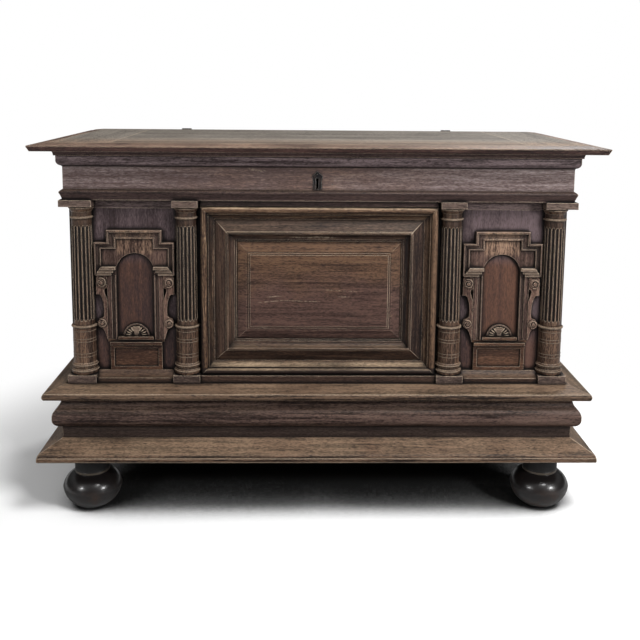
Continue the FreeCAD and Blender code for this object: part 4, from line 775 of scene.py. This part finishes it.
iron = wrought_iron()
dress(iron, "lid_hinge_straps", "hinge_case_plates", "hinge_pins", "lock_case", "lid_catch", "lock_bolt",
      "escutcheon")

HINGE_OFFSET, HINGE_IRON = 0.417, 0.0025
PLATE_NAIL_LEVELS = (0.922, 0.940, 0.958)
STRAP_NAIL_PLACES = (0.156, 0.203, 0.250)
STRAP_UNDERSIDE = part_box("lid_hinge_straps")[0].z
FORWARDS, DOWNWARDS = (0, -1, 0), (0, 0, -1)
NAIL_RADIUS, NAIL_PROUD, NAIL_TAPER, NAIL_SIDES = 0.0042, 0.0016, 0.4, 6
PIN_RADIUS, PIN_PROUD, PIN_ABOVE, PIN_BELOW = 0.0017, 0.0007, 0.005, 0.008
FRIEZE_NAIL, FRIEZE_NAIL_LEVEL = 0.0314, 0.8847
FRIEZE_NAIL_RADIUS, FRIEZE_NAIL_PROUD, FRIEZE_NAIL_TAPER = 0.0022, 0.0004, 0.6

plate_nails, strap_nails, plate_pins = bmesh.new(), bmesh.new(), bmesh.new()
for side in (-1, 1):
    for level in PLATE_NAIL_LEVELS:
        drive(plate_nails, (side * HINGE_OFFSET, case_high.y + HINGE_IRON, level), BACKWARDS,
              NAIL_RADIUS, NAIL_PROUD, NAIL_TAPER, NAIL_SIDES)
    for along in STRAP_NAIL_PLACES:
        drive(strap_nails, (side * HINGE_OFFSET, along, STRAP_UNDERSIDE), DOWNWARDS,
              NAIL_RADIUS, NAIL_PROUD, NAIL_TAPER, NAIL_SIDES)
plate_low, plate_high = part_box("escutcheon")
for level in (plate_low.z + PIN_ABOVE, plate_high.z - PIN_BELOW):
    drive(plate_pins, ((plate_low.x + plate_high.x) / 2, plate_low.y, level), FORWARDS,
          PIN_RADIUS, PIN_PROUD, NAIL_TAPER, NAIL_SIDES)
drive(plate_pins, (FRIEZE_NAIL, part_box("frieze_front_board")[0].y, FRIEZE_NAIL_LEVEL), FORWARDS,
      FRIEZE_NAIL_RADIUS, FRIEZE_NAIL_PROUD, FRIEZE_NAIL_TAPER)
fix(plate_nails, "hinge_plate_nails", iron)
fix(strap_nails, "hinge_strap_nails", iron, "lid")
fix(plate_pins, "escutcheon_pins", iron)


# Room
# A pale floor without a wall, with a painted shadow round and under the chest, and a soft white sky.
# One lamp hangs high over the front, two small ones stand low at its left and right, and a fourth
# hangs behind the chest.

FLOOR_HALF = 30
NEAR, FAR = 0.9, 1.4
PAINTED_SHADOW_REACH = 0.7
WHITE = (1, 1, 1, 1)
PAINTED_SHADOW_COLOUR = (0.03, 0.03, 0.03, 1)
FLOOR_SHADE = (0.32, 0.32, 0.32, 1)


def pale_floor():
    """White to the camera, with a painted shadow where the chest closes it in, and pure white from FAR
    outwards. It throws little light back on the chest."""
    finish = Finish("pale_floor")
    x, y, _ = finish.parts(finish.place)
    reach = finish.sum("SQRT", x * x + y * y)
    camera_ray = finish.add("LightPath", output="Is Camera Ray")
    seen = camera_ray.most(finish.add("LightPath", output="Is Glossy Ray"))
    seen = seen.most(finish.add("LightPath", output="Is Transmission Ray"))
    glow = finish.add("Emission", None, {"Color": WHITE, "Strength": 1})
    # The floor is painted darker to the camera where the chest closes it in: a painted shadow.
    painted_shadow = finish.add("AmbientOcclusion", {"samples": 16}, {"Distance": PAINTED_SHADOW_REACH}, "AO").rise(0.56, 0.24)
    pale = finish.colour(painted_shadow, WHITE, PAINTED_SHADOW_COLOUR)
    finish.set(base_color=finish.colour(camera_ray, FLOOR_SHADE, pale), roughness=1.0, specular_ior_level=0.0)
    plain = Reading(finish, finish.shader.outputs[0])
    mixed = finish.add("MixShader", None, {0: seen * reach.rise(NEAR, FAR), 1: plain, 2: glow})
    finish.feed(finish.tree.nodes["Material Output"].inputs["Surface"], mixed)
    return finish.material


floor_mesh = bpy.data.meshes.new("floor")
sheet = bmesh.new()
bmesh.ops.create_grid(sheet, x_segments=1, y_segments=1, size=FLOOR_HALF)
sheet.to_mesh(floor_mesh)
floor = bpy.data.objects.new("floor", floor_mesh)
floor_mesh.materials.append(pale_floor())
bpy.context.scene.collection.objects.link(floor)

SKY_LIGHT = 0.42
world = bpy.data.worlds.new("sky")
world.use_nodes = True
bpy.context.scene.world = world
backdrop = world.node_tree.nodes["Background"]
backdrop.inputs["Color"].default_value = WHITE
sky = Finish.over(world.node_tree)
height = sky.parts(sky.add("TexCoord", output="Generated"))[2]
seen = sky.add("LightPath", output="Is Camera Ray")
sky.feed(backdrop.inputs["Strength"], seen.most(height.rise(0.05, 0.85) * SKY_LIGHT))


def lamp(name, place, aim, size, power):
    light = bpy.data.lights.new(name, "AREA")
    light.size = size
    light.energy = power
    source = bpy.data.objects.new(name, light)
    source.location = place
    source.rotation_euler = (Vector(aim) - Vector(place)).to_track_quat("-Z", "Y").to_euler()
    bpy.context.scene.collection.objects.link(source)


lamp("top_lamp", (0.95, -1.75, 3.0), (0, -0.2, 0.5), 0.9, 90)
lamp("left_lamp", (-2.1, -2.3, 1.45), (0, -0.2, 0.6), 0.35, 21)
lamp("right_lamp", (2.2, -2.2, 1.45), (0, -0.2, 0.6), 0.4, 44)
lamp("back_lamp", (1.5, 2.3, 3.1), (0, 0.3, 0.5), 0.8, 50)


# Camera
# It stands a little left of the middle, about 2.1 m in front of the chest and just higher than
# its lid, and looks down a little.

CAMERA_PLACE = (-0.047, -2.466, 1.149)
CAMERA_LENS = 48.67
CAMERA_SHIFT = -0.185
CAMERA_TURN = math.radians(1.23)
CAMERA_DIP = math.radians(7.975)
CAMERA_ROLL = math.radians(0.5)

lens = bpy.data.cameras.new("camera")
lens.lens = CAMERA_LENS
lens.shift_y = CAMERA_SHIFT
camera = bpy.data.objects.new("camera", lens)
camera.matrix_world = (Matrix.Translation(CAMERA_PLACE) @ Matrix.Rotation(-CAMERA_TURN, 4, "Z")
                       @ Matrix.Rotation(math.pi / 2 - CAMERA_DIP, 4, "X")
                       @ Matrix.Rotation(CAMERA_ROLL, 4, "Z"))
bpy.context.scene.collection.objects.link(camera)
bpy.context.scene.camera = camera
bpy.context.scene.view_settings.view_transform = "Standard"
